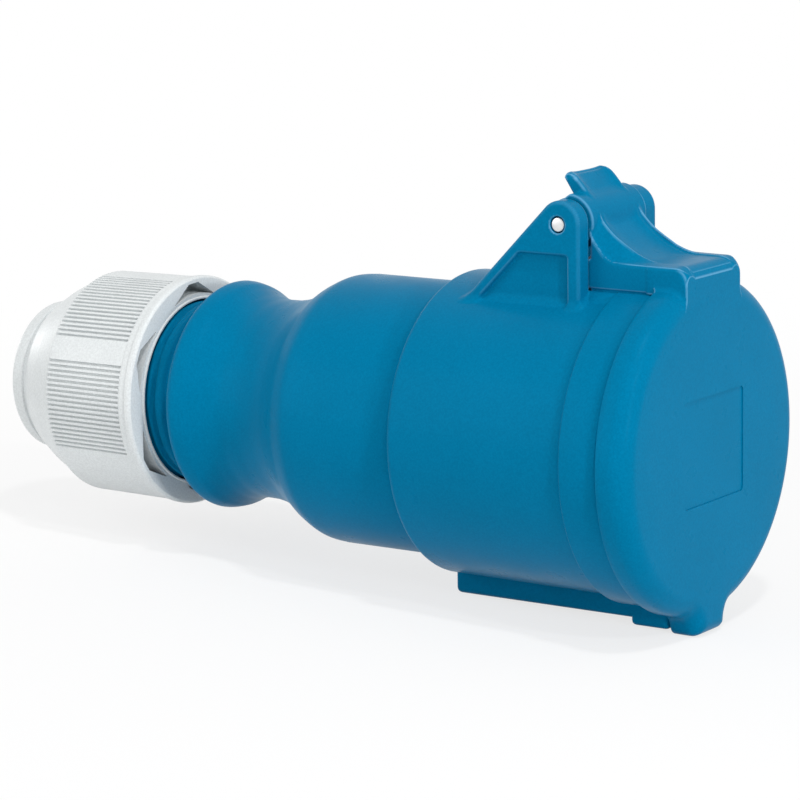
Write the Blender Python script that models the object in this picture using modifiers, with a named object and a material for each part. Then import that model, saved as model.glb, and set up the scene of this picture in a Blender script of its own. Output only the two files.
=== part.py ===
"""Industrial cable coupler, 16 A, two poles and earth.

The connector's axis is world X, with the lid at +X and the cable gland at -X.
Z is up: the lid's hinge is on top and the keyway rib is at the bottom.
The origin is on the axis, in the plane where the lid's rim meets the housing.
"""

import math

import bmesh
import bpy
from mathutils import Matrix, Vector

MM = 0.001

# clearances
GAP = 0.3 * MM              # between pieces that touch
PIN_GAP = 0.15 * MM         # hinge pin in the two ears
TURN_GAP = 0.35 * MM        # hinge pin in the lid's barrel

# turned pieces: number of flats round each kind
STEPS_BODY = 36
STEPS_INNER = 28
STEPS_SMALL = 14

# front housing
COLLAR_R = 29.9 * MM
COLLAR_LENGTH = 7.9 * MM
COLLAR_ROUND = 0.6 * MM
COLLAR_FRONT_X = -GAP
HOUSING_R = COLLAR_R - 1.3 * MM
HOUSING_REAR_ROUND = 1.3 * MM
CAVITY_R = COLLAR_R - 5.1 * MM
CAVITY_DEPTH = 31.0 * MM
MOUTH_CHAMFER = 0.9 * MM
SHOULDER_R = CAVITY_R - 3.0 * MM
SHOULDER_THICK = 2.2 * MM
REAR_BORE_R = HOUSING_R - 4.4 * MM

# keyway rib under the housing and the groove inside it
RIB_HALF_W = 5.15 * MM
RIB_DEPTH = HOUSING_R + 3.6 * MM
RIB_ROUND = 1.1 * MM
COLLAR_RIB_DEPTH = COLLAR_R + 3.6 * MM
COLLAR_RIB_LENGTH = 8.2 * MM
KEYWAY_HALF_W = 3.2 * MM
KEYWAY_DEPTH = CAVITY_R + 4.6 * MM

# hinge
PIN_X = -18.2 * MM
PIN_Z = COLLAR_R + 10.4 * MM
PIN_R = 1.35 * MM
EAR_R = 4.7 * MM
EAR_FRONT = 4.1 * MM
EAR_INNER_Y = 9.85 * MM
EAR_THICK = 3.45 * MM
EAR_REAR_SLOPE = math.radians(45.6)
EAR_BASE_Z = CAVITY_R - 0.8 * MM
EAR_ROUND = 0.9 * MM
PANEL_DEPTH = 1.1 * MM
PANEL_BORDER_FRONT = 2.2 * MM
PANEL_BORDER_REAR = 2.0 * MM
PANEL_TOP_Z = PIN_Z - 5.5 * MM
SADDLE_FRONT_OVERLAP = 0.6 * MM

# lid
LID_R = COLLAR_R + 1.1 * MM
LID_THICK = 6.3 * MM
LID_ROUND = 3.7 * MM
LID_FACE_WALL = 2.2 * MM
LID_RIM_WALL = 2.2 * MM
GASKET_R_IN = LID_R - 5.4 * MM
GASKET_DEPTH = 2.4 * MM
BLOCK_HALF_W = 9.5 * MM
BLOCK_TOP_Z = COLLAR_R + 3.5 * MM
BLOCK_ROUND = 2.0 * MM
ARM_HALF_W = 7.0 * MM
ARM_TOP_Z = BLOCK_TOP_Z + 0.5 * MM
BARREL_R = 4.4 * MM
TAB_TIP_X = PIN_X - 2.8 * MM
TAB_TIP_Z = PIN_Z + 8.6 * MM
TAB_FLAT = 1.9 * MM
LUG_HALF_W = 5.1 * MM
LUG_DEPTH = LID_R + 3.35 * MM
LUG_ROUND = 1.5 * MM
LUG_CORNER_ROUND = 3.0 * MM
LUG_FLARE = 2.6 * MM
PLATE_W = 21.1 * MM
PLATE_H = 19.4 * MM
PLATE_DEPTH = 0.25 * MM

# lid spring
SPRING_WIRE_R = 0.4 * MM
SPRING_COIL_R = 2.35 * MM
SPRING_TURNS = 3
SPRING_HALF_W = 3.1 * MM
SPRING_POCKET_R = 3.2 * MM
SPRING_POCKET_HALF_W = 4.3 * MM

# places behind the cavity that follow its depth
CAVITY_FLOOR_X = COLLAR_FRONT_X - CAVITY_DEPTH
SHOULDER_REAR_X = CAVITY_FLOOR_X - SHOULDER_THICK
CARRIER_FLANGE_THICK = 3.0 * MM
FLANGE_FRONT_X = SHOULDER_REAR_X - GAP
FLANGE_REAR_X = FLANGE_FRONT_X - CARRIER_FLANGE_THICK
SKIRT_FRONT_X = FLANGE_REAR_X - GAP
HOUSING_REAR_X = SKIRT_FRONT_X - 8.9 * MM

# rear grip
GRIP_R = HOUSING_R - 2.8 * MM
GRIP_SHOULDER_X = HOUSING_REAR_X - 25.0 * MM
NECK_END_X = GRIP_SHOULDER_X - 16.5 * MM
NECK_FALL = ((0.09, 0.96), (0.2, 0.79), (0.38, 0.48), (0.565, 0.215), (0.75, 0.075))
BULGE_RISE = ((0.27, 0.12), (0.53, 0.42), (0.78, 0.81))
WAIST_X = NECK_END_X - 2.5 * MM
WAIST_R = 19.3 * MM
BULGE_X = WAIST_X - 10.8 * MM
BULGE_R = WAIST_R + 2.6 * MM
BULGE_REAR_ROUND = 3.4 * MM
GRIP_WALL = 3.0 * MM
SKIRT_WALL = 3.0 * MM
SEAL_GROOVE_X = SKIRT_FRONT_X - 3.9 * MM
SEAL_GROOVE_W = 2.6 * MM
SEAL_GROOVE_DEPTH = 2.2 * MM
SEAL_WIRE_R = 0.85 * MM

# gland thread spigot on the grip
THREAD_R = 17.6 * MM
SPIGOT_END_X = BULGE_X - 27.2 * MM
POCKET_R = THREAD_R - 4.0 * MM
POCKET_DEPTH = 12.0 * MM
CABLE_BORE_R = POCKET_R - 3.1 * MM

# gland nut
NUT_FRONT_X = SPIGOT_END_X + 19.5 * MM
NUT_THREAD_GAP = 0.3 * MM
NUT_FLANGE_R = THREAD_R + 5.0 * MM
NUT_FLANGE_LENGTH = 3.2 * MM
NUT_GRIP_R_FRONT = NUT_FLANGE_R - 0.4 * MM
NUT_GRIP_R_REAR = NUT_FLANGE_R - 0.7 * MM
NUT_GRIP_REAR_X = NUT_FRONT_X - 22.3 * MM
NUT_CONE_R = NUT_FLANGE_R - 1.15 * MM
NUT_CONE_FALL = ((0.0, 0.0), (0.2, 0.16), (0.48, 0.42), (0.74, 0.70), (0.96, 0.955), (1.0, 1.0))
NUT_CONE_END_X = NUT_FRONT_X - 34.5 * MM
NUT_NECK_DEPTH = 0.7 * MM
NUT_NECK_LENGTH = 0.6 * MM
NUT_RING_R = THREAD_R - 2.7 * MM
NUT_CONE_END_R = NUT_RING_R + 0.4 * MM
NUT_END_X = NUT_CONE_END_X - 3.2 * MM
NUT_MOUTH_R = CABLE_BORE_R - 0.5 * MM
NUT_POCKETS = 6
NUT_POCKET_TURN = math.radians(34.0)
NUT_POCKET_DEPTH = 7.0 * MM
NUT_POCKET_WALL = 1.1 * MM

# clamp cage and cable seal in the gland
CAGE_WALL = 1.6 * MM
CAGE_FLANGE_R = THREAD_R - 1.2 * MM
CAGE_FLANGE_THICK = 1.7 * MM
CAGE_TIP_X = NUT_CONE_END_X + 2.0 * MM
CAGE_SLOTS = 8
CAGE_SLOT_W = 1.1 * MM
SEAL_HOLE_R = CABLE_BORE_R - 3.5 * MM
SEAL_CONE_LENGTH = 6.0 * MM

# contact carrier
CARRIER_R = CAVITY_R - 6.4 * MM
CARRIER_FRONT_X = 0.0
CARRIER_FACE_THICK = 7.0 * MM
CARRIER_EDGE = 0.8 * MM
CARRIER_REAR_R = CARRIER_R + 1.0 * MM
CARRIER_REAR_LENGTH = 13.5 * MM
CONTACT_CIRCLE_R = CARRIER_R - 7.5 * MM
CONTACT_HOLE_R = 3.15 * MM
EARTH_HOLE_R = 3.75 * MM
SLEEVE_R_IN = 2.55 * MM
EARTH_SLEEVE_R_IN = 3.1 * MM
SLEEVE_WALL = 1.0 * MM
SLEEVE_BORE_DEPTH = 19.0 * MM
SLEEVE_SLOT_W = 0.8 * MM
WIRE_BORE_R = 1.9 * MM
RING_WALL = 0.5 * MM
RING_WIDTH = 2.0 * MM
RING_PLACE = 4.5 * MM
TERMINAL_SCREW_R = 1.5 * MM
TERMINAL_HEAD_R = 2.4 * MM
TERMINAL_HEAD = 2.0 * MM
CARRIER_SCREW_R = 1.5 * MM
CARRIER_SCREW_HEAD_R = 2.7 * MM
CARRIER_SCREW_HEAD = 2.2 * MM
CARRIER_SCREW_CIRCLE_R = CARRIER_R - 3.1 * MM

BLUE = (0.000, 0.215, 0.440, 1.0)
GREY = (0.640, 0.650, 0.640, 1.0)


for old in list(bpy.data.objects):
    bpy.data.objects.remove(old, do_unlink=True)

scene = bpy.context.scene
parts = bpy.data.collections.new("cable_coupler")
cutters = bpy.data.collections.new("cutters")
scene.collection.children.link(parts)
scene.collection.children.link(cutters)


def material(name, colour, roughness, metallic=0.0):
    mat = bpy.data.materials.new(name)
    mat.use_nodes = True
    bsdf = mat.node_tree.nodes["Principled BSDF"]
    bsdf.inputs["Base Color"].default_value = colour
    bsdf.inputs["Roughness"].default_value = roughness
    bsdf.inputs["Metallic"].default_value = metallic
    mat.diffuse_color = colour
    return mat


MAT_BLUE = material("blue_nylon", BLUE, 0.42)
MAT_GREY = material("grey_nylon", GREY, 0.45)
MAT_INSERT = material("insert_plastic", (0.05, 0.055, 0.06, 1.0), 0.5)
MAT_RUBBER = material("seal_rubber", (0.03, 0.03, 0.032, 1.0), 0.75)
MAT_BRASS = material("contact_brass", (0.72, 0.50, 0.20, 1.0), 0.3, 1.0)
MAT_STEEL = material("zinc_steel", (0.70, 0.70, 0.68, 1.0), 0.3, 1.0)

TO_X = (0.0, math.pi / 2, 0.0)      # turns an object's own Z onto world X
TO_XZ = (math.pi / 2, 0.0, 0.0)     # stands a flat outline up in the XZ plane
TO_YZ = (math.pi / 2, 0.0, math.pi / 2)  # stands a flat outline up in the YZ plane


def finish(obj, mat, cutter=False):
    """Link an object to its collection and give it its material."""
    if cutter:
        cutters.objects.link(obj)
        obj.hide_render = True
        obj.display_type = "WIRE"
    else:
        parts.objects.link(obj)
    if mat is not None:
        obj.data.materials.append(mat)
    return obj


def turned(name, profile, mat, steps, closed=True, place=(0, 0, 0), cutter=False, turn=TO_X):
    """Turn a profile of (place along the axis, radius) pairs round the axis."""
    mesh = bpy.data.meshes.new(name)
    bm = bmesh.new()
    verts = [bm.verts.new((r, 0.0, x)) for x, r in profile]
    for a, b in zip(verts, verts[1:]):
        bm.edges.new((a, b))
    if closed:
        bm.edges.new((verts[-1], verts[0]))
    bm.to_mesh(mesh)
    bm.free()
    obj = bpy.data.objects.new(name, mesh)
    obj.rotation_euler = turn
    obj.location = place
    screw = obj.modifiers.new("turn", "SCREW")
    screw.axis = "Z"
    screw.angle = 2 * math.pi
    screw.steps = int(steps)
    screw.render_steps = int(steps)
    screw.use_merge_vertices = True
    screw.merge_threshold = 0.00001
    screw.use_smooth_shade = True
    return finish(obj, mat, cutter)


def outline(name, points, half, mat=None, place=(0, 0, 0), turn=TO_XZ, cutter=True):
    """Extrude a flat outline to a plate of thickness 2 * half."""
    curve = bpy.data.curves.new(name + "_outline", "CURVE")
    curve.dimensions = "2D"
    curve.fill_mode = "BOTH"
    curve.extrude = half
    spline = curve.splines.new("POLY")
    spline.points.add(len(points) - 1)
    for point, (u, v) in zip(spline.points, points):
        point.co = (u, v, 0.0, 1.0)
    spline.use_cyclic_u = True
    guide = bpy.data.objects.new(name + "_guide", curve)
    guide.rotation_euler = turn
    guide.location = place
    scene.collection.objects.link(guide)
    return meshed(guide, name, mat, cutter)


def meshed(guide, name, mat, cutter=False):
    """Turn a curve object into a closed mesh object and remove the curve."""
    bpy.context.view_layer.update()
    graph = bpy.context.evaluated_depsgraph_get()
    mesh = bpy.data.meshes.new_from_object(guide.evaluated_get(graph))
    mesh.name = name
    mesh.materials.clear()
    bm = bmesh.new()
    bm.from_mesh(mesh)
    bmesh.ops.remove_doubles(bm, verts=bm.verts, dist=0.000005)
    bmesh.ops.recalc_face_normals(bm, faces=bm.faces)
    bm.to_mesh(mesh)
    bm.free()
    obj = bpy.data.objects.new(name, mesh)
    obj.matrix_world = guide.matrix_world.copy()
    bpy.data.objects.remove(guide, do_unlink=True)
    return finish(obj, mat, cutter)


def block(name, low, high, mat=None, cutter=True):
    """A box between two corners."""
    mesh = bpy.data.meshes.new(name)
    bm = bmesh.new()
    bmesh.ops.create_cube(bm, size=1.0)
    low = Vector(low)
    high = Vector(high)
    size = high - low
    bmesh.ops.scale(bm, vec=size, verts=bm.verts)
    bmesh.ops.translate(bm, vec=(low + high) / 2, verts=bm.verts)
    bm.to_mesh(mesh)
    bm.free()
    obj = bpy.data.objects.new(name, mesh)
    return finish(obj, mat, cutter)


def rod(name, radius, length, place, turn, steps=STEPS_SMALL, mat=None, cutter=True):
    """A cylinder of a given length, centred on its place."""
    mesh = bpy.data.meshes.new(name)
    bm = bmesh.new()
    bmesh.ops.create_cone(bm, cap_ends=True, segments=steps, radius1=radius, radius2=radius, depth=length)
    bm.to_mesh(mesh)
    bm.free()
    obj = bpy.data.objects.new(name, mesh)
    obj.location = place
    obj.rotation_euler = turn
    return finish(obj, mat, cutter)


def bevel(obj, width, segments=2, angle=40.0):
    mod = obj.modifiers.new("edges", "BEVEL")
    mod.width = width
    mod.segments = segments
    mod.limit_method = "ANGLE"
    mod.angle_limit = math.radians(angle)
    return mod


def join(obj, other):
    mod = obj.modifiers.new("join_" + other.name, "BOOLEAN")
    mod.operation = "UNION"
    mod.solver = "EXACT"
    mod.object = other
    return mod


def cut(obj, other):
    mod = obj.modifiers.new("cut_" + other.name, "BOOLEAN")
    mod.operation = "DIFFERENCE"
    mod.solver = "EXACT"
    mod.object = other
    return mod


def arc(cx, cr, radius, start, end, count):
    """Points of a quarter round, angles in degrees from the +x direction."""
    out = []
    for i in range(count + 1):
        t = math.radians(start + (end - start) * i / count)
        out.append((cx + radius * math.cos(t), cr + radius * math.sin(t)))
    return out


def smooth_path(knots, count):
    """Points of a smooth curve through the knots, count per span."""
    out = []
    for i in range(len(knots) - 1):
        p0 = Vector(knots[max(i - 1, 0)])
        p1 = Vector(knots[i])
        p2 = Vector(knots[i + 1])
        p3 = Vector(knots[min(i + 2, len(knots) - 1)])
        for k in range(count):
            t = k / count
            out.append(tuple(0.5 * (2 * p1 + (p2 - p0) * t + (2 * p0 - 5 * p1 + 4 * p2 - p3) * t ** 2
                                    + (3 * p1 - p0 - 3 * p2 + p3) * t ** 3)))
    out.append(tuple(knots[-1]))
    return out


# shared places that follow from the sizes above
COLLAR_REAR_X = COLLAR_FRONT_X - COLLAR_LENGTH
FLANGE_R = REAR_BORE_R - GAP
SKIRT_R = REAR_BORE_R - GAP
GRIP_FRONT_X = HOUSING_REAR_X - GAP
EAR_OUTER_Y = EAR_INNER_Y + EAR_THICK
EAR_MID_Y = (EAR_INNER_Y + EAR_OUTER_Y) / 2
EAR_FRONT_X = PIN_X + EAR_FRONT

# front housing

outer = []
outer += arc(COLLAR_FRONT_X - COLLAR_ROUND, COLLAR_R - COLLAR_ROUND, COLLAR_ROUND, 0, 90, 2)
outer += arc(COLLAR_REAR_X + COLLAR_ROUND, COLLAR_R - COLLAR_ROUND, COLLAR_ROUND, 90, 180, 2)
outer += [(COLLAR_REAR_X, HOUSING_R)]
outer += arc(HOUSING_REAR_X + HOUSING_REAR_ROUND, HOUSING_R - HOUSING_REAR_ROUND,
             HOUSING_REAR_ROUND, 90, 180, 3)
inner = [
    (HOUSING_REAR_X, REAR_BORE_R),
    (SHOULDER_REAR_X, REAR_BORE_R),
    (SHOULDER_REAR_X, SHOULDER_R),
    (CAVITY_FLOOR_X, SHOULDER_R),
    (CAVITY_FLOOR_X, CAVITY_R),
    (COLLAR_FRONT_X - MOUTH_CHAMFER, CAVITY_R),
    (COLLAR_FRONT_X, CAVITY_R + MOUTH_CHAMFER),
]
front_housing = turned("front_housing", outer + inner, MAT_BLUE, STEPS_BODY)

# raised saddle between the ears, level with the collar
saddle_half = EAR_INNER_Y + EAR_THICK / 2
saddle_angle = math.asin(saddle_half / COLLAR_R)
saddle_points = []
for i in range(9):
    t = saddle_angle * (1 - 2 * i / 8)
    saddle_points.append((COLLAR_R * math.sin(t), COLLAR_R * math.cos(t)))
saddle_low = CAVITY_R + (HOUSING_R - CAVITY_R) / 2
saddle_points.append((-saddle_half, saddle_low * math.cos(saddle_angle)))
saddle_points.append((0.0, saddle_low))
saddle_points.append((saddle_half, saddle_low * math.cos(saddle_angle)))
saddle_front = COLLAR_REAR_X + SADDLE_FRONT_OVERLAP + COLLAR_ROUND
saddle_rear = EAR_FRONT_X - EAR_THICK
saddle = outline("saddle", saddle_points, (saddle_front - saddle_rear) / 2,
                 place=((saddle_front + saddle_rear) / 2, 0, 0), turn=TO_YZ)
join(front_housing, saddle)

# the two hinge ears
slope = Vector((math.cos(EAR_REAR_SLOPE), math.sin(EAR_REAR_SLOPE)))
normal = Vector((-slope.y, slope.x))
ear_points = []
front_angle = math.degrees(math.acos(EAR_FRONT / EAR_R))
ear_points.append((EAR_FRONT_X, EAR_BASE_Z))
ear_points += arc(PIN_X, PIN_Z, EAR_R, front_angle, math.degrees(EAR_REAR_SLOPE) + 90, 6)
ear_rear = Vector((PIN_X, PIN_Z)) + normal * EAR_R
foot = ear_rear - slope * ((ear_rear.y - EAR_BASE_Z) / slope.y)
ear_points.append((foot.x, foot.y))

panel_rear = ear_rear - normal * PANEL_BORDER_REAR
panel_front_x = EAR_FRONT_X - PANEL_BORDER_FRONT
panel_low_z = EAR_BASE_Z - 4 * GAP
panel_points = [
    (panel_front_x, panel_low_z),
    (panel_front_x, PANEL_TOP_Z),
    (panel_rear.x - slope.x * (panel_rear.y - PANEL_TOP_Z) / slope.y, PANEL_TOP_Z),
    (panel_rear.x - slope.x * (panel_rear.y - panel_low_z) / slope.y, panel_low_z),
]
for side, tag in ((-1, "near"), (1, "far")):
    ear = outline("ear_" + tag, ear_points, EAR_THICK / 2, place=(0, side * EAR_MID_Y, 0))
    bevel(ear, EAR_ROUND, 2, 60)
    panel = outline("ear_panel_" + tag, panel_points, PANEL_DEPTH,
                    place=(0, side * EAR_OUTER_Y, 0))
    cut(ear, panel)
    join(front_housing, ear)

# keyway rib, deeper under the collar
rib_front = COLLAR_FRONT_X
rib_top = (HOUSING_R + CAVITY_R) / 2
rib = block("keyway_rib", (HOUSING_REAR_X, -RIB_HALF_W, -RIB_DEPTH),
            (rib_front - COLLAR_ROUND, RIB_HALF_W, -rib_top + 1.5 * MM))
bevel(rib, RIB_ROUND, 2, 40)
join(front_housing, rib)
collar_rib = block("collar_rib", (rib_front - COLLAR_RIB_LENGTH, -RIB_HALF_W, -COLLAR_RIB_DEPTH),
                   (rib_front, RIB_HALF_W, -rib_top + 1.5 * MM))
bevel(collar_rib, RIB_ROUND, 2, 40)
join(front_housing, collar_rib)
keyway = block("keyway_groove", (CAVITY_FLOOR_X, -KEYWAY_HALF_W, -KEYWAY_DEPTH),
               (GAP * 4, KEYWAY_HALF_W, -CAVITY_R / 2))
cut(front_housing, keyway)

ear_bore = rod("ear_bore", PIN_R + PIN_GAP, EAR_OUTER_Y * 2 + 4 * MM, (PIN_X, 0, PIN_Z), TO_XZ)
cut(front_housing, ear_bore)

# rear grip

grip_outer = [
    (SKIRT_FRONT_X, SKIRT_R),
    (SEAL_GROOVE_X + SEAL_GROOVE_W / 2, SKIRT_R),
    (SEAL_GROOVE_X + SEAL_GROOVE_W / 2, SKIRT_R - SEAL_GROOVE_DEPTH),
    (SEAL_GROOVE_X - SEAL_GROOVE_W / 2, SKIRT_R - SEAL_GROOVE_DEPTH),
    (SEAL_GROOVE_X - SEAL_GROOVE_W / 2, SKIRT_R),
    (GRIP_FRONT_X, SKIRT_R),
    (GRIP_FRONT_X, GRIP_R),
]
neck = [(GRIP_SHOULDER_X, GRIP_R)]
for along, fall in NECK_FALL:
    neck.append((GRIP_SHOULDER_X + (NECK_END_X - GRIP_SHOULDER_X) * along,
                 WAIST_R + (GRIP_R - WAIST_R) * fall))
neck.append((NECK_END_X, WAIST_R))
neck.append((WAIST_X, WAIST_R))
for along, rise in BULGE_RISE:
    neck.append((WAIST_X + (BULGE_X - WAIST_X) * along, WAIST_R + (BULGE_R - WAIST_R) * rise))
bulge_rear_x = BULGE_X - BULGE_REAR_ROUND
grip_outer += neck
grip_outer += arc(BULGE_X, BULGE_R - BULGE_REAR_ROUND, BULGE_REAR_ROUND, 90, 170, 4)
grip_outer += [
    (bulge_rear_x, THREAD_R),
    (SPIGOT_END_X + 0.8 * MM, THREAD_R),
    (SPIGOT_END_X, THREAD_R - 0.8 * MM),
]
pocket_front_x = SPIGOT_END_X + POCKET_DEPTH
grip_inner = [
    (SPIGOT_END_X, POCKET_R),
    (pocket_front_x, POCKET_R),
    (pocket_front_x, CABLE_BORE_R),
    (bulge_rear_x, CABLE_BORE_R),
    (WAIST_X, WAIST_R - GRIP_WALL),
    (GRIP_SHOULDER_X, GRIP_R - GRIP_WALL * 1.1),
    (GRIP_FRONT_X - 2 * MM, GRIP_R - GRIP_WALL * 1.1),
    (GRIP_FRONT_X + 2 * MM, SKIRT_R - SKIRT_WALL),
    (SKIRT_FRONT_X, SKIRT_R - SKIRT_WALL),
]
rear_grip = turned("rear_grip", grip_outer + grip_inner, MAT_BLUE, STEPS_BODY)

seal_mid_r = (REAR_BORE_R + SKIRT_R - SEAL_GROOVE_DEPTH) / 2
seal_section = arc(SEAL_GROOVE_X, seal_mid_r, SEAL_WIRE_R, 0, 300, 5)
housing_seal = turned("housing_seal", seal_section, MAT_RUBBER, STEPS_INNER)

# lid

lid_root = bpy.data.objects.new("lid_hinge_axis", None)
lid_root.location = (PIN_X, 0, PIN_Z)
parts.objects.link(lid_root)

lid_profile = [(LID_THICK, 0.0)]
lid_profile += arc(LID_THICK - LID_ROUND, LID_R - LID_ROUND, LID_ROUND, 0, 90, 5)
lid_profile += [(0.0, LID_R), (0.0, 0.0)]
lid = turned("lid", lid_profile, MAT_BLUE, STEPS_BODY, closed=False)

# block over the collar: its side outline, then its curved underside
under_r = COLLAR_R + GAP
block_rear_x = EAR_FRONT_X - 1.6 * MM
flank_points = [(LID_THICK, LID_R - 6 * MM)]
flank_points += arc(LID_THICK - BLOCK_ROUND, BLOCK_TOP_Z - BLOCK_ROUND, BLOCK_ROUND, 0, 90, 3)
flank_points += smooth_path([
    (PIN_X + 8.8 * MM, BLOCK_TOP_Z),
    (PIN_X + 7.2 * MM, BLOCK_TOP_Z + 0.8 * MM),
    (PIN_X + 5.6 * MM, BLOCK_TOP_Z + 2.9 * MM),
    (PIN_X + BARREL_R * 0.98, PIN_Z + BARREL_R * 0.15),
], 2)
flank_points += [(PIN_X, PIN_Z), (block_rear_x, PIN_Z - BARREL_R), (block_rear_x, LID_R - 6 * MM)]
flank = outline("lid_flank", flank_points, BLOCK_HALF_W)
under = turned("lid_underside_cut", [
    (0.0, 0.0),
    (0.0, under_r),
    (block_rear_x - 4 * MM, under_r),
    (block_rear_x - 4 * MM, 0.0),
], None, STEPS_BODY, closed=False, cutter=True)
cut(flank, under)

# raised middle of the arm, rising to the thumb tab
tab_crest_x = TAB_TIP_X + TAB_FLAT
arm_points = [
    (LID_THICK - BLOCK_ROUND * 1.5, BLOCK_TOP_Z - 1 * MM),
    (LID_THICK - BLOCK_ROUND * 1.5, ARM_TOP_Z - 0.2 * MM),
]
arm_points += smooth_path([
    (-1.9 * MM, ARM_TOP_Z),
    (PIN_X + 12.0 * MM, ARM_TOP_Z + 1.8 * MM),
    (PIN_X + 7.8 * MM, ARM_TOP_Z + 4.6 * MM),
    (PIN_X + 4.9 * MM, ARM_TOP_Z + 7.4 * MM),
    (PIN_X + 2.2 * MM, TAB_TIP_Z - 3.3 * MM),
    (tab_crest_x + 0.6 * MM, TAB_TIP_Z - 0.5 * MM),
], 2)
arm_points += [
    (tab_crest_x, TAB_TIP_Z),
    (TAB_TIP_X + 0.3 * MM, TAB_TIP_Z),
    (TAB_TIP_X, TAB_TIP_Z - 0.9 * MM),
    (TAB_TIP_X + 0.5 * MM, TAB_TIP_Z - 2.2 * MM),
    (TAB_TIP_X + 2.0 * MM, TAB_TIP_Z - 4.3 * MM),
    (PIN_X, PIN_Z),
    (PIN_X + 6.0 * MM, BLOCK_TOP_Z - 1 * MM),
]
arm = outline("lid_arm", arm_points, ARM_HALF_W)
bevel(arm, 0.6 * MM, 2, 50)
join(flank, arm)

barrel = rod("lid_barrel", BARREL_R, BLOCK_HALF_W * 2, (PIN_X, 0, PIN_Z), TO_XZ, 26)
join(flank, barrel)
spring_pocket = rod("spring_pocket", SPRING_POCKET_R, SPRING_POCKET_HALF_W * 2, (PIN_X, 0, PIN_Z), TO_XZ, 20)
cut(flank, spring_pocket)
spring_mouth = block("spring_mouth", (PIN_X - BARREL_R - 2 * MM, -SPRING_POCKET_HALF_W, COLLAR_R),
                     (PIN_X + SPRING_POCKET_R, SPRING_POCKET_HALF_W, PIN_Z))
cut(flank, spring_mouth)
barrel_bore = rod("barrel_bore", PIN_R + TURN_GAP, BLOCK_HALF_W * 2 + 4 * MM, (PIN_X, 0, PIN_Z), TO_XZ)
cut(flank, barrel_bore)
join(lid, flank)

# latch lug, flared into the rim, with a well rounded lower front corner
lug_front = LID_THICK - 0.2 * MM
flare_z = -math.sqrt(LID_R ** 2 - (LUG_HALF_W + LUG_FLARE) ** 2)
lug_face = []
for side in (1, -1):
    half_face = [
        (side * (LUG_HALF_W + LUG_FLARE), flare_z + 0.6 * MM),
        (side * (LUG_HALF_W + LUG_FLARE * 0.45), flare_z - 0.35 * MM),
        (side * (LUG_HALF_W + LUG_FLARE * 0.1), flare_z - LUG_FLARE * 0.42),
    ]
    half_face += arc(side * (LUG_HALF_W - LUG_ROUND), -LUG_DEPTH + LUG_ROUND, LUG_ROUND,
                     -90 + side * 90, -90, 2)
    lug_face += half_face if side == 1 else half_face[::-1]
lug_face += [(-LUG_HALF_W, 6 * MM - LID_R), (LUG_HALF_W, 6 * MM - LID_R)]
lug = outline("lid_lug", lug_face, lug_front / 2, place=(lug_front / 2, 0, 0), turn=TO_YZ)
lug_side = [(lug_front, -LUG_DEPTH + LUG_CORNER_ROUND)]
lug_side += arc(lug_front - LUG_CORNER_ROUND, -LUG_DEPTH + LUG_CORNER_ROUND, LUG_CORNER_ROUND, 0, -90, 3)[1:]
lug_side += [(lug_front - LUG_CORNER_ROUND, -LUG_DEPTH - 1 * MM), (lug_front + 1 * MM, -LUG_DEPTH - 1 * MM),
             (lug_front + 1 * MM, -LUG_DEPTH + LUG_CORNER_ROUND)]
lug_corner = outline("lid_lug_corner", lug_side, LUG_HALF_W + LUG_FLARE * 2)
cut(lug, lug_corner)
join(lid, lug)

# the lid's hollow, with its gasket channel
hollow_x = LID_THICK - LID_FACE_WALL
hollow = turned("lid_hollow", [
    (hollow_x, 0.0),
    (hollow_x, GASKET_R_IN - 2 * MM),
    (GASKET_DEPTH, GASKET_R_IN - GAP),
    (GASKET_DEPTH, LID_R - LID_RIM_WALL),
    (-1 * MM, LID_R - LID_RIM_WALL),
    (-1 * MM, 0.0),
], None, STEPS_BODY, closed=False, cutter=True)
cut(lid, hollow)

plate_cut = block("plate_recess", (LID_THICK - PLATE_DEPTH, -PLATE_W / 2, -PLATE_H / 2),
                  (LID_THICK + 2 * MM, PLATE_W / 2, PLATE_H / 2))
cut(lid, plate_cut)

lid_gasket = turned("lid_gasket", [
    (GASKET_DEPTH - GAP, LID_R - LID_RIM_WALL - GAP),
    (0.0, LID_R - LID_RIM_WALL - GAP),
    (0.0, GASKET_R_IN + 0.8 * MM),
    (0.9 * MM, GASKET_R_IN),
    (GASKET_DEPTH - GAP, GASKET_R_IN),
], MAT_RUBBER, STEPS_BODY)

hinge_pin = rod("hinge_pin", PIN_R, EAR_OUTER_Y * 2, (PIN_X, 0, PIN_Z), TO_XZ, 20, MAT_STEEL, cutter=False)

# torsion spring round the pin, one leg on the arm and one on the housing
coil = bpy.data.curves.new("lid_spring_coil", "CURVE")
coil.dimensions = "3D"
coil.bevel_depth = SPRING_WIRE_R
coil.bevel_resolution = 1
coil.use_fill_caps = True
per_turn = 10
count = SPRING_TURNS * per_turn + per_turn // 2
points = []
points.append((PIN_X - 7.0 * MM, -SPRING_HALF_W, HOUSING_R + 2 * GAP + SPRING_WIRE_R))
for i in range(count + 1):
    t = math.radians(180.0) + 2 * math.pi * i / per_turn
    points.append((PIN_X + SPRING_COIL_R * math.cos(t), -SPRING_HALF_W + 2 * SPRING_HALF_W * i / count,
                   PIN_Z + SPRING_COIL_R * math.sin(t)))
points.append((PIN_X + SPRING_COIL_R, SPRING_HALF_W, PIN_Z - 5.2 * MM))
spline = coil.splines.new("POLY")
spline.points.add(len(points) - 1)
for point, co in zip(spline.points, points):
    point.co = (co[0], co[1], co[2], 1.0)
guide = bpy.data.objects.new("lid_spring_guide", coil)
scene.collection.objects.link(guide)
lid_spring = meshed(guide, "lid_spring", MAT_STEEL)

# gland nut

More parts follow.
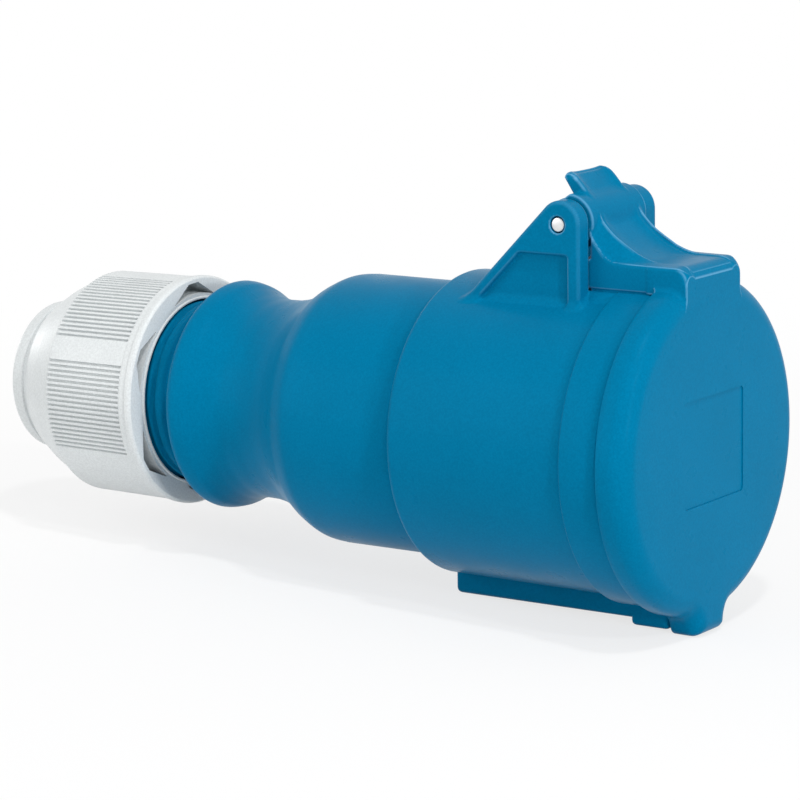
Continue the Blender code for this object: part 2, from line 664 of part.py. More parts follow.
nut_bore_r = THREAD_R + NUT_THREAD_GAP
nut_outer = []
nut_outer += arc(NUT_FRONT_X - 0.7 * MM, NUT_FLANGE_R - 0.7 * MM, 0.7 * MM, 0, 90, 2)
nut_outer += [
    (NUT_FRONT_X - NUT_FLANGE_LENGTH + 0.4 * MM, NUT_FLANGE_R),
    (NUT_FRONT_X - NUT_FLANGE_LENGTH, NUT_GRIP_R_FRONT),
    (NUT_GRIP_REAR_X, NUT_GRIP_R_REAR),
]
cone_start_x = NUT_GRIP_REAR_X - 0.5 * MM
for along, fall in NUT_CONE_FALL:
    nut_outer.append((cone_start_x + (NUT_CONE_END_X - cone_start_x) * along,
                      NUT_CONE_R + (NUT_CONE_END_R - NUT_CONE_R) * fall))
nut_outer += [
    (NUT_CONE_END_X, NUT_RING_R - NUT_NECK_DEPTH),
    (NUT_CONE_END_X - NUT_NECK_LENGTH, NUT_RING_R - NUT_NECK_DEPTH),
    (NUT_CONE_END_X - NUT_NECK_LENGTH, NUT_RING_R - 0.2 * MM),
    (NUT_CONE_END_X - NUT_NECK_LENGTH - 0.3 * MM, NUT_RING_R),
]
nut_outer += arc(NUT_END_X + 0.9 * MM, NUT_RING_R - 0.9 * MM, 0.9 * MM, 90, 180, 3)
cage_seat_x = SPIGOT_END_X - GAP - CAGE_FLANGE_THICK
nut_inner = [
    (NUT_END_X, NUT_MOUTH_R + 1.0 * MM),
    (NUT_END_X + 1.2 * MM, NUT_MOUTH_R),
    (CAGE_TIP_X - GAP, NUT_MOUTH_R),
    (cage_seat_x - GAP, POCKET_R + 0.4 * MM),
    (cage_seat_x - GAP, nut_bore_r),
    (NUT_FRONT_X - 0.8 * MM, nut_bore_r),
    (NUT_FRONT_X, nut_bore_r + 0.4 * MM),
]
gland_nut = turned("gland_nut", nut_outer + nut_inner, MAT_GREY, STEPS_BODY)

# six core pockets in the nut's front face: round inside, pointed outside
pocket_in = nut_bore_r + NUT_POCKET_WALL
pocket_out = NUT_FLANGE_R - NUT_POCKET_WALL
sector = 2 * math.pi / NUT_POCKETS
for k in range(NUT_POCKETS):
    mid = sector * k + NUT_POCKET_TURN
    half = sector * 0.30
    ring_points = []
    for i in range(5):
        t = mid - half + 2 * half * i / 4
        ring_points.append((pocket_in * math.cos(t), pocket_in * math.sin(t)))
    ring_points.append((pocket_out * math.cos(mid + half * 0.28), pocket_out * math.sin(mid + half * 0.28)))
    ring_points.append((pocket_out * math.cos(mid - half * 0.28), pocket_out * math.sin(mid - half * 0.28)))
    pocket = outline("nut_pocket_%d" % k, ring_points, NUT_POCKET_DEPTH,
                     place=(NUT_FRONT_X, 0, 0), turn=TO_YZ)
    cut(gland_nut, pocket)

# clamp cage: a sleeve in the grip, a flange and slotted fingers in the nut's cone
cage_sleeve_r = POCKET_R - GAP
cage_front_x = pocket_front_x - POCKET_DEPTH * 0.35
cage_in = cage_sleeve_r - CAGE_WALL
cage = turned("gland_clamp_cage", [
    (cage_front_x, cage_sleeve_r),
    (SPIGOT_END_X - GAP, cage_sleeve_r),
    (SPIGOT_END_X - GAP, CAGE_FLANGE_R),
    (cage_seat_x, CAGE_FLANGE_R),
    (cage_seat_x, cage_sleeve_r),
    (CAGE_TIP_X, NUT_MOUTH_R - GAP),
    (CAGE_TIP_X, NUT_MOUTH_R - GAP - CAGE_WALL),
    (cage_seat_x, cage_in),
    (cage_front_x, cage_in),
], MAT_GREY, STEPS_INNER)
for k in range(CAGE_SLOTS // 2):
    t = math.pi * (k + 0.5) / (CAGE_SLOTS // 2)
    slot = block("cage_slot_%d" % k, (CAGE_TIP_X - 2 * MM, -CAGE_SLOT_W / 2, -NUT_FLANGE_R),
                 (cage_seat_x - 1.2 * MM, CAGE_SLOT_W / 2, NUT_FLANGE_R))
    slot.rotation_euler = (t, 0, 0)
    cut(cage, slot)

seal_r = cage_in - GAP
gland_seal = turned("gland_seal", [
    (cage_front_x, seal_r),
    (cage_seat_x, seal_r),
    (cage_seat_x - SEAL_CONE_LENGTH, seal_r - SEAL_CONE_LENGTH * 0.38),
    (cage_seat_x - SEAL_CONE_LENGTH, SEAL_HOLE_R),
    (cage_front_x, SEAL_HOLE_R),
], MAT_RUBBER, STEPS_INNER)

# contact carrier

sleeve_front_x = CARRIER_FRONT_X - CARRIER_FACE_THICK - GAP
carrier_front = turned("contact_carrier_front", [
    (CARRIER_FRONT_X, 0.0),
    (CARRIER_FRONT_X, CARRIER_R - CARRIER_EDGE),
    (CARRIER_FRONT_X - CARRIER_EDGE, CARRIER_R),
    (FLANGE_FRONT_X, CARRIER_R),
    (FLANGE_FRONT_X, FLANGE_R),
    (FLANGE_REAR_X, FLANGE_R),
    (FLANGE_REAR_X, 0.0),
], MAT_INSERT, STEPS_INNER, closed=False)
carrier_rear_x = FLANGE_REAR_X - GAP
terminal_x = carrier_rear_x - CARRIER_REAR_LENGTH / 2
carrier_back_x = carrier_rear_x - CARRIER_REAR_LENGTH
carrier_rear = turned("contact_carrier_rear", [
    (carrier_rear_x, 0.0),
    (carrier_rear_x, CARRIER_REAR_R),
    (carrier_back_x + CARRIER_EDGE, CARRIER_REAR_R),
    (carrier_back_x, CARRIER_REAR_R - CARRIER_EDGE),
    (carrier_back_x, 0.0),
], MAT_INSERT, STEPS_INNER, closed=False)

contacts = (
    ("line", 30.0, CONTACT_HOLE_R, SLEEVE_R_IN),
    ("neutral", 150.0, CONTACT_HOLE_R, SLEEVE_R_IN),
    ("earth", 270.0, EARTH_HOLE_R, EARTH_SLEEVE_R_IN),
)
for tag, degrees, hole_r, sleeve_in in contacts:
    t = math.radians(degrees)
    out = Vector((0, math.cos(t), math.sin(t)))
    centre = out * CONTACT_CIRCLE_R
    sleeve_out = sleeve_in + SLEEVE_WALL
    ring_in = sleeve_out + GAP
    ring_out = ring_in + RING_WALL
    bay_r = ring_out + GAP

    hole = rod("hole_" + tag, hole_r, CARRIER_FACE_THICK * 2, (CARRIER_FRONT_X, centre.y, centre.z), TO_X)
    cut(carrier_front, hole)
    bay_front = CARRIER_FRONT_X - CARRIER_FACE_THICK
    bay_rear = FLANGE_REAR_X - 2 * MM
    bay_mid = (bay_front + bay_rear) / 2
    bay = rod("bay_" + tag, bay_r, bay_front - bay_rear, (bay_mid, centre.y, centre.z), TO_X)
    cut(carrier_front, bay)
    seat = rod("seat_" + tag, sleeve_out + GAP, CARRIER_REAR_LENGTH * 2,
               (terminal_x, centre.y, centre.z), TO_X)
    cut(carrier_rear, seat)

    bore_end = sleeve_front_x - SLEEVE_BORE_DEPTH
    wire_start = carrier_back_x + CARRIER_REAR_LENGTH * 0.85
    sleeve = turned("contact_sleeve_" + tag, [
        (sleeve_front_x, 0.0),
        (sleeve_front_x, sleeve_out - 0.3 * MM),
        (sleeve_front_x - 0.6 * MM, sleeve_out),
        (carrier_back_x, sleeve_out),
        (carrier_back_x, WIRE_BORE_R),
        (wire_start, WIRE_BORE_R),
        (wire_start, 0.0),
    ], MAT_BRASS, STEPS_SMALL, closed=False, place=(0, centre.y, centre.z))
    bore = turned("sleeve_bore_" + tag, [
        (sleeve_front_x + 1 * MM, 0.0),
        (sleeve_front_x + 1 * MM, sleeve_in),
        (bore_end, sleeve_in),
        (bore_end - 1 * MM, 0.0),
    ], None, STEPS_SMALL, closed=False, place=(0, centre.y, centre.z), cutter=True)
    cut(sleeve, bore)
    slit = block("sleeve_slit_" + tag,
                 (sleeve_front_x - SLEEVE_BORE_DEPTH * 0.8, -SLEEVE_SLOT_W / 2, -sleeve_out - 1 * MM),
                 (sleeve_front_x + 1 * MM, SLEEVE_SLOT_W / 2, sleeve_out + 1 * MM))
    slit.location = (0, centre.y, centre.z)
    slit.rotation_euler = (t, 0, 0)
    cut(sleeve, slit)

    ring_x = sleeve_front_x - RING_PLACE
    ring = turned("sleeve_spring_ring_" + tag, [
        (ring_x, ring_in),
        (ring_x, ring_out),
        (ring_x - RING_WIDTH, ring_out),
        (ring_x - RING_WIDTH, ring_in),
    ], MAT_STEEL, STEPS_SMALL, place=(0, centre.y, centre.z))

    # terminal screw, radial, in its well in the rear carrier
    aim = out.to_track_quat("Z", "Y").to_euler()
    screw_top = CARRIER_REAR_R - 0.6 * MM
    screw_low = CONTACT_CIRCLE_R + WIRE_BORE_R * 0.4
    head = TERMINAL_HEAD
    well_top = CARRIER_REAR_R + 2 * MM
    well_low = CONTACT_CIRCLE_R + sleeve_out * 0.8
    tap_low = CONTACT_CIRCLE_R + WIRE_BORE_R * 0.5
    at_screw = Vector((terminal_x, 0, 0))
    well = rod("screw_well_" + tag, TERMINAL_HEAD_R + GAP, well_top - well_low,
               at_screw + out * (well_top + well_low) / 2, aim)
    cut(carrier_rear, well)
    tap = rod("screw_tap_" + tag, TERMINAL_SCREW_R + GAP, well_top - tap_low,
              at_screw + out * (well_top + tap_low) / 2, aim)
    cut(carrier_rear, tap)
    cut(sleeve, tap)
    screw = turned("terminal_screw_" + tag, [
        (screw_top, 0.0),
        (screw_top, TERMINAL_HEAD_R),
        (screw_top - head, TERMINAL_HEAD_R),
        (screw_top - head, TERMINAL_SCREW_R),
        (screw_low, TERMINAL_SCREW_R),
        (screw_low, 0.0),
    ], MAT_STEEL, STEPS_SMALL, closed=False, place=(terminal_x, 0, 0), turn=aim)
    screw_slot = block("screw_slot_" + tag, (-TERMINAL_HEAD_R * 1.5, -0.35 * MM, screw_top - 0.8 * MM),
                       (TERMINAL_HEAD_R * 1.5, 0.35 * MM, screw_top + 1 * MM))
    screw_slot.location = (terminal_x, 0, 0)
    screw_slot.rotation_euler = aim
    cut(screw, screw_slot)

# two screws hold the carrier's halves together
for tag, degrees in (("near", 210.0), ("far", 330.0)):
    t = math.radians(degrees)
    y = CARRIER_SCREW_CIRCLE_R * math.cos(t)
    z = CARRIER_SCREW_CIRCLE_R * math.sin(t)
    head = CARRIER_SCREW_HEAD
    deep = FLANGE_REAR_X + 7.0 * MM
    hole = rod("carrier_screw_hole_" + tag, CARRIER_SCREW_R + GAP, deep - carrier_back_x + 2 * MM,
               ((deep + carrier_back_x) / 2, y, z), TO_X)
    cut(carrier_front, hole)
    cut(carrier_rear, hole)
    sink_front = carrier_back_x + head + 2 * GAP
    sink = rod("carrier_screw_sink_" + tag, CARRIER_SCREW_HEAD_R + GAP, head * 4,
               (sink_front - head * 2, y, z), TO_X)
    cut(carrier_rear, sink)
    screw = turned("carrier_screw_" + tag, [
        (deep - 1 * MM, 0.0),
        (deep - 1 * MM, CARRIER_SCREW_R),
        (carrier_back_x + head, CARRIER_SCREW_R),
        (carrier_back_x + head, CARRIER_SCREW_HEAD_R),
        (carrier_back_x, CARRIER_SCREW_HEAD_R),
        (carrier_back_x, 0.0),
    ], MAT_STEEL, STEPS_SMALL, closed=False, place=(0, y, z))
    slot = block("carrier_screw_slot_" + tag,
                 (carrier_back_x - 1 * MM, y - CARRIER_SCREW_HEAD_R * 1.5, z - 0.4 * MM),
                 (carrier_back_x + 0.9 * MM, y + CARRIER_SCREW_HEAD_R * 1.5, z + 0.4 * MM))
    cut(screw, slot)

# the lid turns about the pin, and the nut and its clamp move along the thread
nut_root = bpy.data.objects.new("gland_screw_axis", None)
nut_root.location = (NUT_FRONT_X, 0, 0)
parts.objects.link(nut_root)
bpy.context.view_layer.update()
for root, pieces in ((lid_root, (lid, lid_gasket)), (nut_root, (gland_nut, cage, gland_seal))):
    for piece in pieces:
        piece.parent = root
        piece.matrix_parent_inverse = Matrix.Translation(-root.location)
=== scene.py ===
# %% [markdown]
# # An industrial cable coupler, dressed over its CAD frame
#
# The imported CAD model is the frame: it fixes every place, size and joint.
# This lesson replaces its faceted shells with smooth moulded ones, adds the
# fine ribs and the thread, and gives each piece a procedural material.

# %% [markdown]
# ## Load the frame
#
# The real coupler has 23 parts that fit each other to a tenth of a millimetre.

import math

import bmesh
import bpy
import numpy as np
from mathutils import Matrix, Vector


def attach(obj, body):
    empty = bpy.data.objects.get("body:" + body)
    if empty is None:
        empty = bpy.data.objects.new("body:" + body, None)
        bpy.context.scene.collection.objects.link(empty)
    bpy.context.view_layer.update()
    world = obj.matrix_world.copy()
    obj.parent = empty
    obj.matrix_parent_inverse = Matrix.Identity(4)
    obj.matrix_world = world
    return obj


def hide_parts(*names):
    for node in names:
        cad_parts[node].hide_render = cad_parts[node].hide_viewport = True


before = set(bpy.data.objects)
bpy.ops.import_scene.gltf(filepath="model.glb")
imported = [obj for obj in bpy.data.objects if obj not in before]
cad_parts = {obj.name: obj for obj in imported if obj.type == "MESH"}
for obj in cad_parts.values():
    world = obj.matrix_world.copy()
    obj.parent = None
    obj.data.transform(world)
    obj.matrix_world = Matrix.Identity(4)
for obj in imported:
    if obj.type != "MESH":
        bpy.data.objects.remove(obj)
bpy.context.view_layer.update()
MM = 0.001
TAU = 2 * math.pi
print("frame nodes:", len(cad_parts))

# %% [markdown]
# ## From a bmesh to a finished object
#
# Every piece is modelled in millimetres and belongs in the scene in metres.
# A scaled object would do, but its patterns and its export would go wrong, so
# the mesh itself is scaled. Smooth shading with sharp edges past a set angle
# keeps moulded faces soft and steps crisp, without a modifier.

# %% From a bmesh to a finished object


def soften(obj, angle=35.0):
    """Smooth shading, with sharp edges where faces meet at more than the angle."""
    for poly in obj.data.polygons:
        poly.use_smooth = True
    obj.data.set_sharp_from_angle(angle=math.radians(angle))


def mesh_object(name, bm, smooth=35.0):
    """Finish a bmesh in millimetres as an object in metres."""
    bmesh.ops.remove_doubles(bm, verts=bm.verts, dist=0.0005)
    bmesh.ops.recalc_face_normals(bm, faces=bm.faces)
    bmesh.ops.scale(bm, vec=(MM, MM, MM), verts=bm.verts)
    mesh = bpy.data.meshes.new(name)
    bm.to_mesh(mesh)
    bm.free()
    obj = bpy.data.objects.new(name, mesh)
    bpy.context.scene.collection.objects.link(obj)
    soften(obj, smooth)
    return obj


def triangles(obj):
    return sum(len(poly.vertices) - 2 for poly in obj.data.polygons)


print("one model unit is", MM, "m")

# %% [markdown]
# ## Blue nylon
#
# Housing, grip and lid are moulded in a strong blue nylon with a satin skin.
# One flat colour would look like a paint chip, and a picture would slide over
# the moving lid. So the colour comes from noise on Object coordinates: a slow
# drift in tone, a fine fleck, uneven gloss and an eroded grain in the bump.
# A value kept in the mesh paints convex edges paler, most on upward faces: a painted highlight.

# %% Shader helpers


def nodes_of(name):
    mat = bpy.data.materials.new(name)
    mat.use_nodes = True
    tree = mat.node_tree
    return mat, tree, tree.nodes["Principled BSDF"]


def noise(tree, coord, scale, detail=4.0, rough=0.55):
    node = tree.nodes.new("ShaderNodeTexNoise")
    node.inputs["Scale"].default_value = scale
    node.inputs["Detail"].default_value = detail
    node.inputs["Roughness"].default_value = rough
    tree.links.new(coord.outputs["Object"], node.inputs["Vector"])
    return node


def ramp(tree, source, low, high, colour_a, colour_b):
    node = tree.nodes.new("ShaderNodeValToRGB")
    for element, position, colour in zip(node.color_ramp.elements, (low, high), (colour_a, colour_b)):
        element.position = position
        element.color = colour
    tree.links.new(source, node.inputs["Fac"])
    return node


def bump(tree, source, strength, distance, before=None):
    node = tree.nodes.new("ShaderNodeBump")
    node.inputs["Strength"].default_value = strength
    node.inputs["Distance"].default_value = distance
    tree.links.new(source, node.inputs["Height"])
    if before is not None:
        tree.links.new(before.outputs["Normal"], node.inputs["Normal"])
    return node


def spread(tree, source, low, high, start=0.0, end=1.0):
    """Map a texture's values from start..end to low..high."""
    node = tree.nodes.new("ShaderNodeMapRange")
    node.inputs["From Min"].default_value = start
    node.inputs["From Max"].default_value = end
    node.inputs["To Min"].default_value = low
    node.inputs["To Max"].default_value = high
    tree.links.new(source, node.inputs["Value"])
    return node


print("materials so far:", len(bpy.data.materials))

# %% Blue nylon
# Share of the pale colour in the painted highlight on convex edges.
HIGHLIGHT_PAINT_SHARE = 0.34


def moulded(name, colour, dark, roughness, grain, gloss=0.5, tint=(1, 1, 1, 1), pale=(0.8, 0.8, 0.8, 1)):
    """Moulded plastic: slow tone drift, fine eroded grain, and a painted highlight on convex edges."""
    mat, tree, shader = nodes_of(name)
    coord = tree.nodes.new("ShaderNodeTexCoord")
    tone = ramp(tree, noise(tree, coord, 55.0, 3.0).outputs["Fac"], 0.30, 0.72, dark, colour)
    fleck = ramp(tree, noise(tree, coord, 2600.0, 2.0, 0.6).outputs["Fac"], 0.35, 0.66,
                 (0.93, 0.93, 0.93, 1), (1.06, 1.06, 1.06, 1))
    mix = tree.nodes.new("ShaderNodeMix")
    mix.data_type = "RGBA"
    mix.blend_type = "MULTIPLY"
    mix.inputs[0].default_value = 1.0
    tree.links.new(tone.outputs["Color"], mix.inputs[6])
    tree.links.new(fleck.outputs["Color"], mix.inputs[7])
    # Painted highlight: a value in the mesh mixes the pale colour into convex, upward edges.
    highlight_painted = tree.nodes.new("ShaderNodeAttribute")
    highlight_painted.attribute_name = "highlight_painted"
    weight = tree.nodes.new("ShaderNodeMath")
    weight.operation = "MULTIPLY"
    weight.inputs[1].default_value = HIGHLIGHT_PAINT_SHARE
    tree.links.new(highlight_painted.outputs["Fac"], weight.inputs[0])
    paler = tree.nodes.new("ShaderNodeMix")
    paler.data_type = "RGBA"
    paler.inputs[7].default_value = pale
    tree.links.new(weight.outputs["Value"], paler.inputs[0])
    tree.links.new(mix.outputs[2], paler.inputs[6])
    tree.links.new(paler.outputs[2], shader.inputs["Base Color"])
    patchy = spread(tree, noise(tree, coord, 160.0, 5.0).outputs["Fac"],
                    roughness - 0.05, roughness + 0.05, 0.25, 0.75)
    tree.links.new(patchy.outputs["Result"], shader.inputs["Roughness"])
    first = bump(tree, noise(tree, coord, 1500.0, 3.0, 0.6).outputs["Fac"], grain, 0.00008)
    second = bump(tree, noise(tree, coord, 90.0, 2.0).outputs["Fac"], grain * 0.35, 0.0003, first)
    tree.links.new(second.outputs["Normal"], shader.inputs["Normal"])
    shader.inputs["Specular IOR Level"].default_value = gloss
    shader.inputs["Specular Tint"].default_value = tint
    return mat


# Its pale colour is the painted highlight on convex edges.
BLUE = moulded("blue_nylon", (0.0004, 0.164, 0.324, 1), (0.0003, 0.154, 0.304, 1), roughness=0.30,
               grain=0.12, gloss=0.03, tint=(0.12, 0.65, 1.0, 1), pale=(0.30, 0.62, 0.90, 1))


def dress(obj, mat, body, slot, *nodes):
    """Give a piece its material, let it ride a body and stand for CAD nodes."""
    obj.data.materials.clear()
    obj.data.materials.append(mat)
    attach(obj, body)
    if nodes:
        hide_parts(*nodes)
    return obj


print("blue nylon has", len(BLUE.node_tree.nodes), "nodes")

# %% [markdown]
# ## Turned forms
#
# Most of the coupler is round about one axis. It could be built from stacked
# cylinders, but their steps would need fillets afterwards. Here a profile is
# a list of corners, each with its own fillet radius, in millimetres: x along
# the axis, r away from it. The spin operator turns that profile into a shell.

# %% Corners with fillets


def fillet(corners, steps=6, closed=False):
    """Round the corners (x, y, radius) of a polyline and return its points."""
    out = []
    n = len(corners)
    for i, (x, y, radius) in enumerate(corners):
        here = Vector((x, y))
        if radius <= 0 or (not closed and i in (0, n - 1)):
            out.append((x, y))
            continue
        before = Vector(corners[(i - 1) % n][:2]) - here
        after = Vector(corners[(i + 1) % n][:2]) - here
        a = before.normalized()
        b = after.normalized()
        half = math.acos(max(-1.0, min(1.0, a.dot(b)))) / 2
        if half > math.radians(89.5):
            out.append((x, y))
            continue
        reach = min(radius / math.tan(half), before.length * 0.49, after.length * 0.49)
        r = reach * math.tan(half)
        centre = here + (a + b).normalized() * (r / math.sin(half))
        p = here + a * reach - centre
        q = here + b * reach - centre
        turn = p.angle_signed(q)
        count = max(2, min(steps, int(abs(turn) / math.radians(10)) + 1))
        for k in range(count + 1):
            w = -turn * k / count
            out.append((centre.x + p.x * math.cos(w) - p.y * math.sin(w),
                        centre.y + p.x * math.sin(w) + p.y * math.cos(w)))
    return out


print("a filleted corner has", len(fillet([(0, 0, 0), (9, 0, 2), (9, 9, 0)])) - 2, "points")

# %% A profile spun round the axis


def lathe(name, profile, steps=192, closed=True, centre=(0, 0)):
    """Spin a profile (x, r) round the X axis at centre (y, z)."""
    bm = bmesh.new()
    verts = [bm.verts.new((x, centre[0], centre[1] + r)) for x, r in profile]
    edges = [bm.edges.new(pair) for pair in zip(verts, verts[1:])]
    if closed:
        edges.append(bm.edges.new((verts[-1], verts[0])))
    bmesh.ops.spin(bm, geom=verts + edges, cent=(0, centre[0], centre[1]), axis=(1, 0, 0),
                   angle=TAU, steps=steps, use_merge=True, use_duplicate=False)
    return mesh_object(name, bm)


COLLAR_R, HOUSING_R, BORE_R = 29.9, 28.5, 24.8
MOUTH_X, COLLAR_X, HOUSING_X = -0.3, -8.2, -46.0
shell = lathe("housing_shell", fillet([
    (MOUTH_X, COLLAR_R, 0.55),
    (COLLAR_X, COLLAR_R, 0.45),
    (COLLAR_X - 0.05, HOUSING_R + 0.25, 0.35),
    (HOUSING_X, HOUSING_R, 1.35),
    (HOUSING_X, 24.2, 0.3),
    (-33.5, 24.2, 0.2),
    (-33.5, 21.8, 0.2),
    (-31.3, 21.8, 0.2),
    (-31.3, BORE_R, 0.5),
    (-1.3, BORE_R, 0.4),
    (MOUTH_X, 25.7, 0.3),
], closed=True), 240)
print("housing shell:", triangles(shell), "triangles")

# %% [markdown]
# ## Front housing
#
# The shroud that takes the mating plug is a turned shell with a stepped
# collar. Along its bottom runs a rib, one step deeper under the collar, and
# inside the rib the keyway. The rib could be extruded from faces of the
# shell, but those lie on a curve, so rounded boxes are joined and cut with
# exact Booleans instead, and the shell keeps its even faces elsewhere.

# %% Rib and keyway
RIB_HALF, RIB_IN = 5.15, -26.2


def rounded_box(name, low, high, edge, segments=4):
    """A box between two corners in millimetres, with all its edges rounded."""
    bm = bmesh.new()
    bmesh.ops.create_cube(bm, size=1.0)
    low = Vector(low)
    high = Vector(high)
    bmesh.ops.scale(bm, vec=high - low, verts=bm.verts)
    bmesh.ops.translate(bm, vec=(low + high) / 2, verts=bm.verts)
    bmesh.ops.bevel(bm, geom=bm.edges[:], offset=edge, segments=segments, profile=0.5,
                    affect="EDGES", material=-1)
    return mesh_object(name, bm)


def boolean(obj, other, operation, angle=35.0):
    """Apply an exact Boolean and remove the second object."""
    mod = obj.modifiers.new("bool", "BOOLEAN")
    mod.operation = operation
    mod.solver = "EXACT"
    mod.object = other
    bpy.context.view_layer.update()
    graph = bpy.context.evaluated_depsgraph_get()
    mesh = bpy.data.meshes.new_from_object(obj.evaluated_get(graph))
    obj.modifiers.clear()
    if len(mesh.polygons) < len(other.data.polygons):
        print("Boolean lost", obj.name, operation, other.name)
    old = obj.data
    obj.data = mesh
    bpy.data.meshes.remove(old)
    bpy.data.objects.remove(other, do_unlink=True)
    soften(obj, angle)
    return obj


rib = rounded_box("rib", (HOUSING_X - 0.5, -RIB_HALF, -32.2), (-2.0, RIB_HALF, RIB_IN), 1.1)
boolean(shell, rib, "UNION")
rib = rounded_box("collar_rib", (COLLAR_X - 0.1, -RIB_HALF, -33.5), (MOUTH_X, RIB_HALF, RIB_IN), 0.9)
boolean(shell, rib, "UNION")
key = rounded_box("key", (-31.3, -3.2, -29.4), (3.0, 3.2, -12.0), 0.5, 3)
boolean(shell, key, "DIFFERENCE")
print("housing with its rib:", triangles(shell), "triangles")

# %% [markdown]
# ## A tool for blended forms
#
# On a moulded part every inside corner has a small fillet. A Boolean leaves a
# hard crease there, and the bevel operator breaks down where three curved
# faces meet. So the hinge's forms are written as distance fields: a formula
# is negative inside its form, and two formulas are joined by a third one that
# rounds the corner between them. The mesh is then the field's zero surface,
# with one vertex in each small cell that it crosses.

# %% Joining and cutting fields


def shared(a, b, r):
    """What two forms share, with the edge between them rounded off."""
    return np.minimum(np.maximum(a, b), -r) + np.hypot(np.maximum(a + r, 0), np.maximum(b + r, 0))


def fused(a, b, r):
    """Two forms in one, with a concave fillet between them."""
    return np.maximum(np.minimum(a, b), r) - np.hypot(np.maximum(r - a, 0), np.maximum(r - b, 0))


def outline_field(points, u, v):
    """Signed distance to a closed outline."""
    nearest, inside = None, None
    for (au, av), (bu, bv) in zip(points, points[1:] + points[:1]):
        eu, ev = bu - au, bv - av
        t = np.clip(((u - au) * eu + (v - av) * ev) / (eu * eu + ev * ev), 0, 1)
        away = (u - au - eu * t) ** 2 + (v - av - ev * t) ** 2
        crossed = ((av <= v) != (bv <= v)) & (u < au + (v - av) * eu / (ev if ev else 1e-9))
        nearest = away if nearest is None else np.minimum(nearest, away)
        inside = crossed if inside is None else inside ^ crossed
    return np.where(inside, -1.0, 1.0) * np.sqrt(nearest)


print("the middle of a 2 mm square is", outline_field([(0, 0), (2, 0), (2, 2), (0, 2)], 1.0, 1.0), "deep")

# %% Where the surface crosses the grid


def crossings(value):
    """Find the crossed cells, a first point in each, and the crossed edges."""
    inside = value < 0
    cells = [n - 1 for n in value.shape]
    total = np.zeros(cells + [3])
    hits = np.zeros(cells)
    edges = []
    for axis in range(3):
        lower = [slice(None)] * 3
        upper = [slice(None)] * 3
        lower[axis] = slice(0, -1)
        upper[axis] = slice(1, None)
        f0, f1 = value[tuple(lower)], value[tuple(upper)]
        cut = inside[tuple(lower)] != inside[tuple(upper)]
        share = np.where(cut, f0 / np.where(cut, f0 - f1, 1.0), 0.0)
        spot = np.stack(np.meshgrid(*[np.arange(n) for n in cut.shape], indexing="ij"), -1).astype(float)
        spot[..., axis] += share
        spot *= cut[..., None]
        b, c = [k for k in range(3) if k != axis]
        for db in (0, 1):
            for dc in (0, 1):
                part = [slice(None)] * 3
                part[b] = slice(db, db + cells[b])
                part[c] = slice(dc, dc + cells[c])
                total += spot[tuple(part)]
                hits += cut[tuple(part)]
        edges.append((axis, b, c, cut, inside[tuple(lower)]))
    used = hits > 0
    index = -np.ones(cells, dtype=int)
    index[used] = np.arange(used.sum())
    return index, total[used] / hits[used][:, None], edges


def quads_round(edges, index):
    """One face round each crossed edge, from the vertices of its four cells."""
    quads = []
    for axis, b, c, cut, below in edges:
        i = np.argwhere(cut)
        i = i[(i[:, b] > 0) & (i[:, c] > 0) & (i[:, b] < index.shape[b]) & (i[:, c] < index.shape[c])]
        corner = []
        for db, dc in ((1, 1), (0, 1), (0, 0), (1, 0)):
            j = i.copy()
            j[:, b] -= db
            j[:, c] -= dc
            corner.append(index[tuple(j.T)])
        quad = np.stack(corner, -1)
        flip = below[tuple(i.T)] != (axis == 1)
        quad[~flip] = quad[~flip][:, ::-1]
        quads.append(quad)
    return np.concatenate(quads)


steps = np.arange(-3.0, 4.0)
ball = np.sqrt(steps[:, None, None] ** 2 + steps[:, None] ** 2 + steps ** 2) - 2.2
print("a small ball crosses", len(crossings(ball)[1]), "cells")

# %% The field's surface as an object
PULL = 0.3
# How sharp an edge must be, and over what span, before the painted highlight shows.
HIGHLIGHT_FROM, HIGHLIGHT_SPAN, HIGHLIGHT_REACH = 1.15, 2.2, 0.25


def onto_surface(field, first, cell):
    """Move points along the field's slope onto its surface, a short way at most."""
    points = first.copy()
    for _ in range(3):
        at = field(*points.T)
        slope = np.stack([field(*(points + 0.02 * np.eye(3)[k]).T) - field(*(points - 0.02 * np.eye(3)[k]).T)
                          for k in range(3)], -1) / 0.04
        step = slope * (at / np.maximum((slope ** 2).sum(-1), 0.05))[:, None]
        points = first + np.clip(points - step - first, -cell * PULL, cell * PULL)
    return points


def highlight_paint_mask(form, points):
    """0 to 1: a painted highlight, strong where the form is convex, weaker where it looks down."""
    bend = -6.0 * form(*points.T)
    for k in range(3):
        for reach in (-HIGHLIGHT_REACH, HIGHLIGHT_REACH):
            bend += form(*(points + reach * np.eye(3)[k]).T)
    upward = form(*(points + (0, 0, 0.1)).T) - form(*(points - (0, 0, 0.1)).T)
    edge = np.clip((bend / HIGHLIGHT_REACH ** 2 - HIGHLIGHT_FROM) / HIGHLIGHT_SPAN, 0, 1)
    return edge * np.clip(upward / 0.2 + 0.75, 0, 1)


def field_mesh(name, form, low, high, cell, smooth):
    """The surface of a form inside a box. The form gives its field and a limit."""

    def bounded(x, y, z):
        return np.maximum(*form(x, y, z))

    def whole(x, y, z):
        return form(x, y, z)[0]

    axes = [np.arange(low[k], high[k] + cell / 2, cell) for k in range(3)]
    grid = np.meshgrid(*axes, indexing="ij", sparse=True)
    index, spots, edges = crossings(bounded(*grid) + np.zeros([len(a) for a in axes]))
    points = onto_surface(bounded, spots * cell + np.array(low), cell)
    mesh = bpy.data.meshes.new(name)
    mesh.from_pydata((points * MM).tolist(), [], quads_round(edges, index).tolist())
    mesh.validate()
    obj = bpy.data.objects.new(name, mesh)
    # The painted highlight on convex edges is kept as a value in the mesh.
    obj["highlight_painted"] = highlight_paint_mask(whole, points).tolist()
    bpy.context.scene.collection.objects.link(obj)
    soften(obj, smooth)
    print(name, "has", len(mesh.polygons), "faces")
    return obj


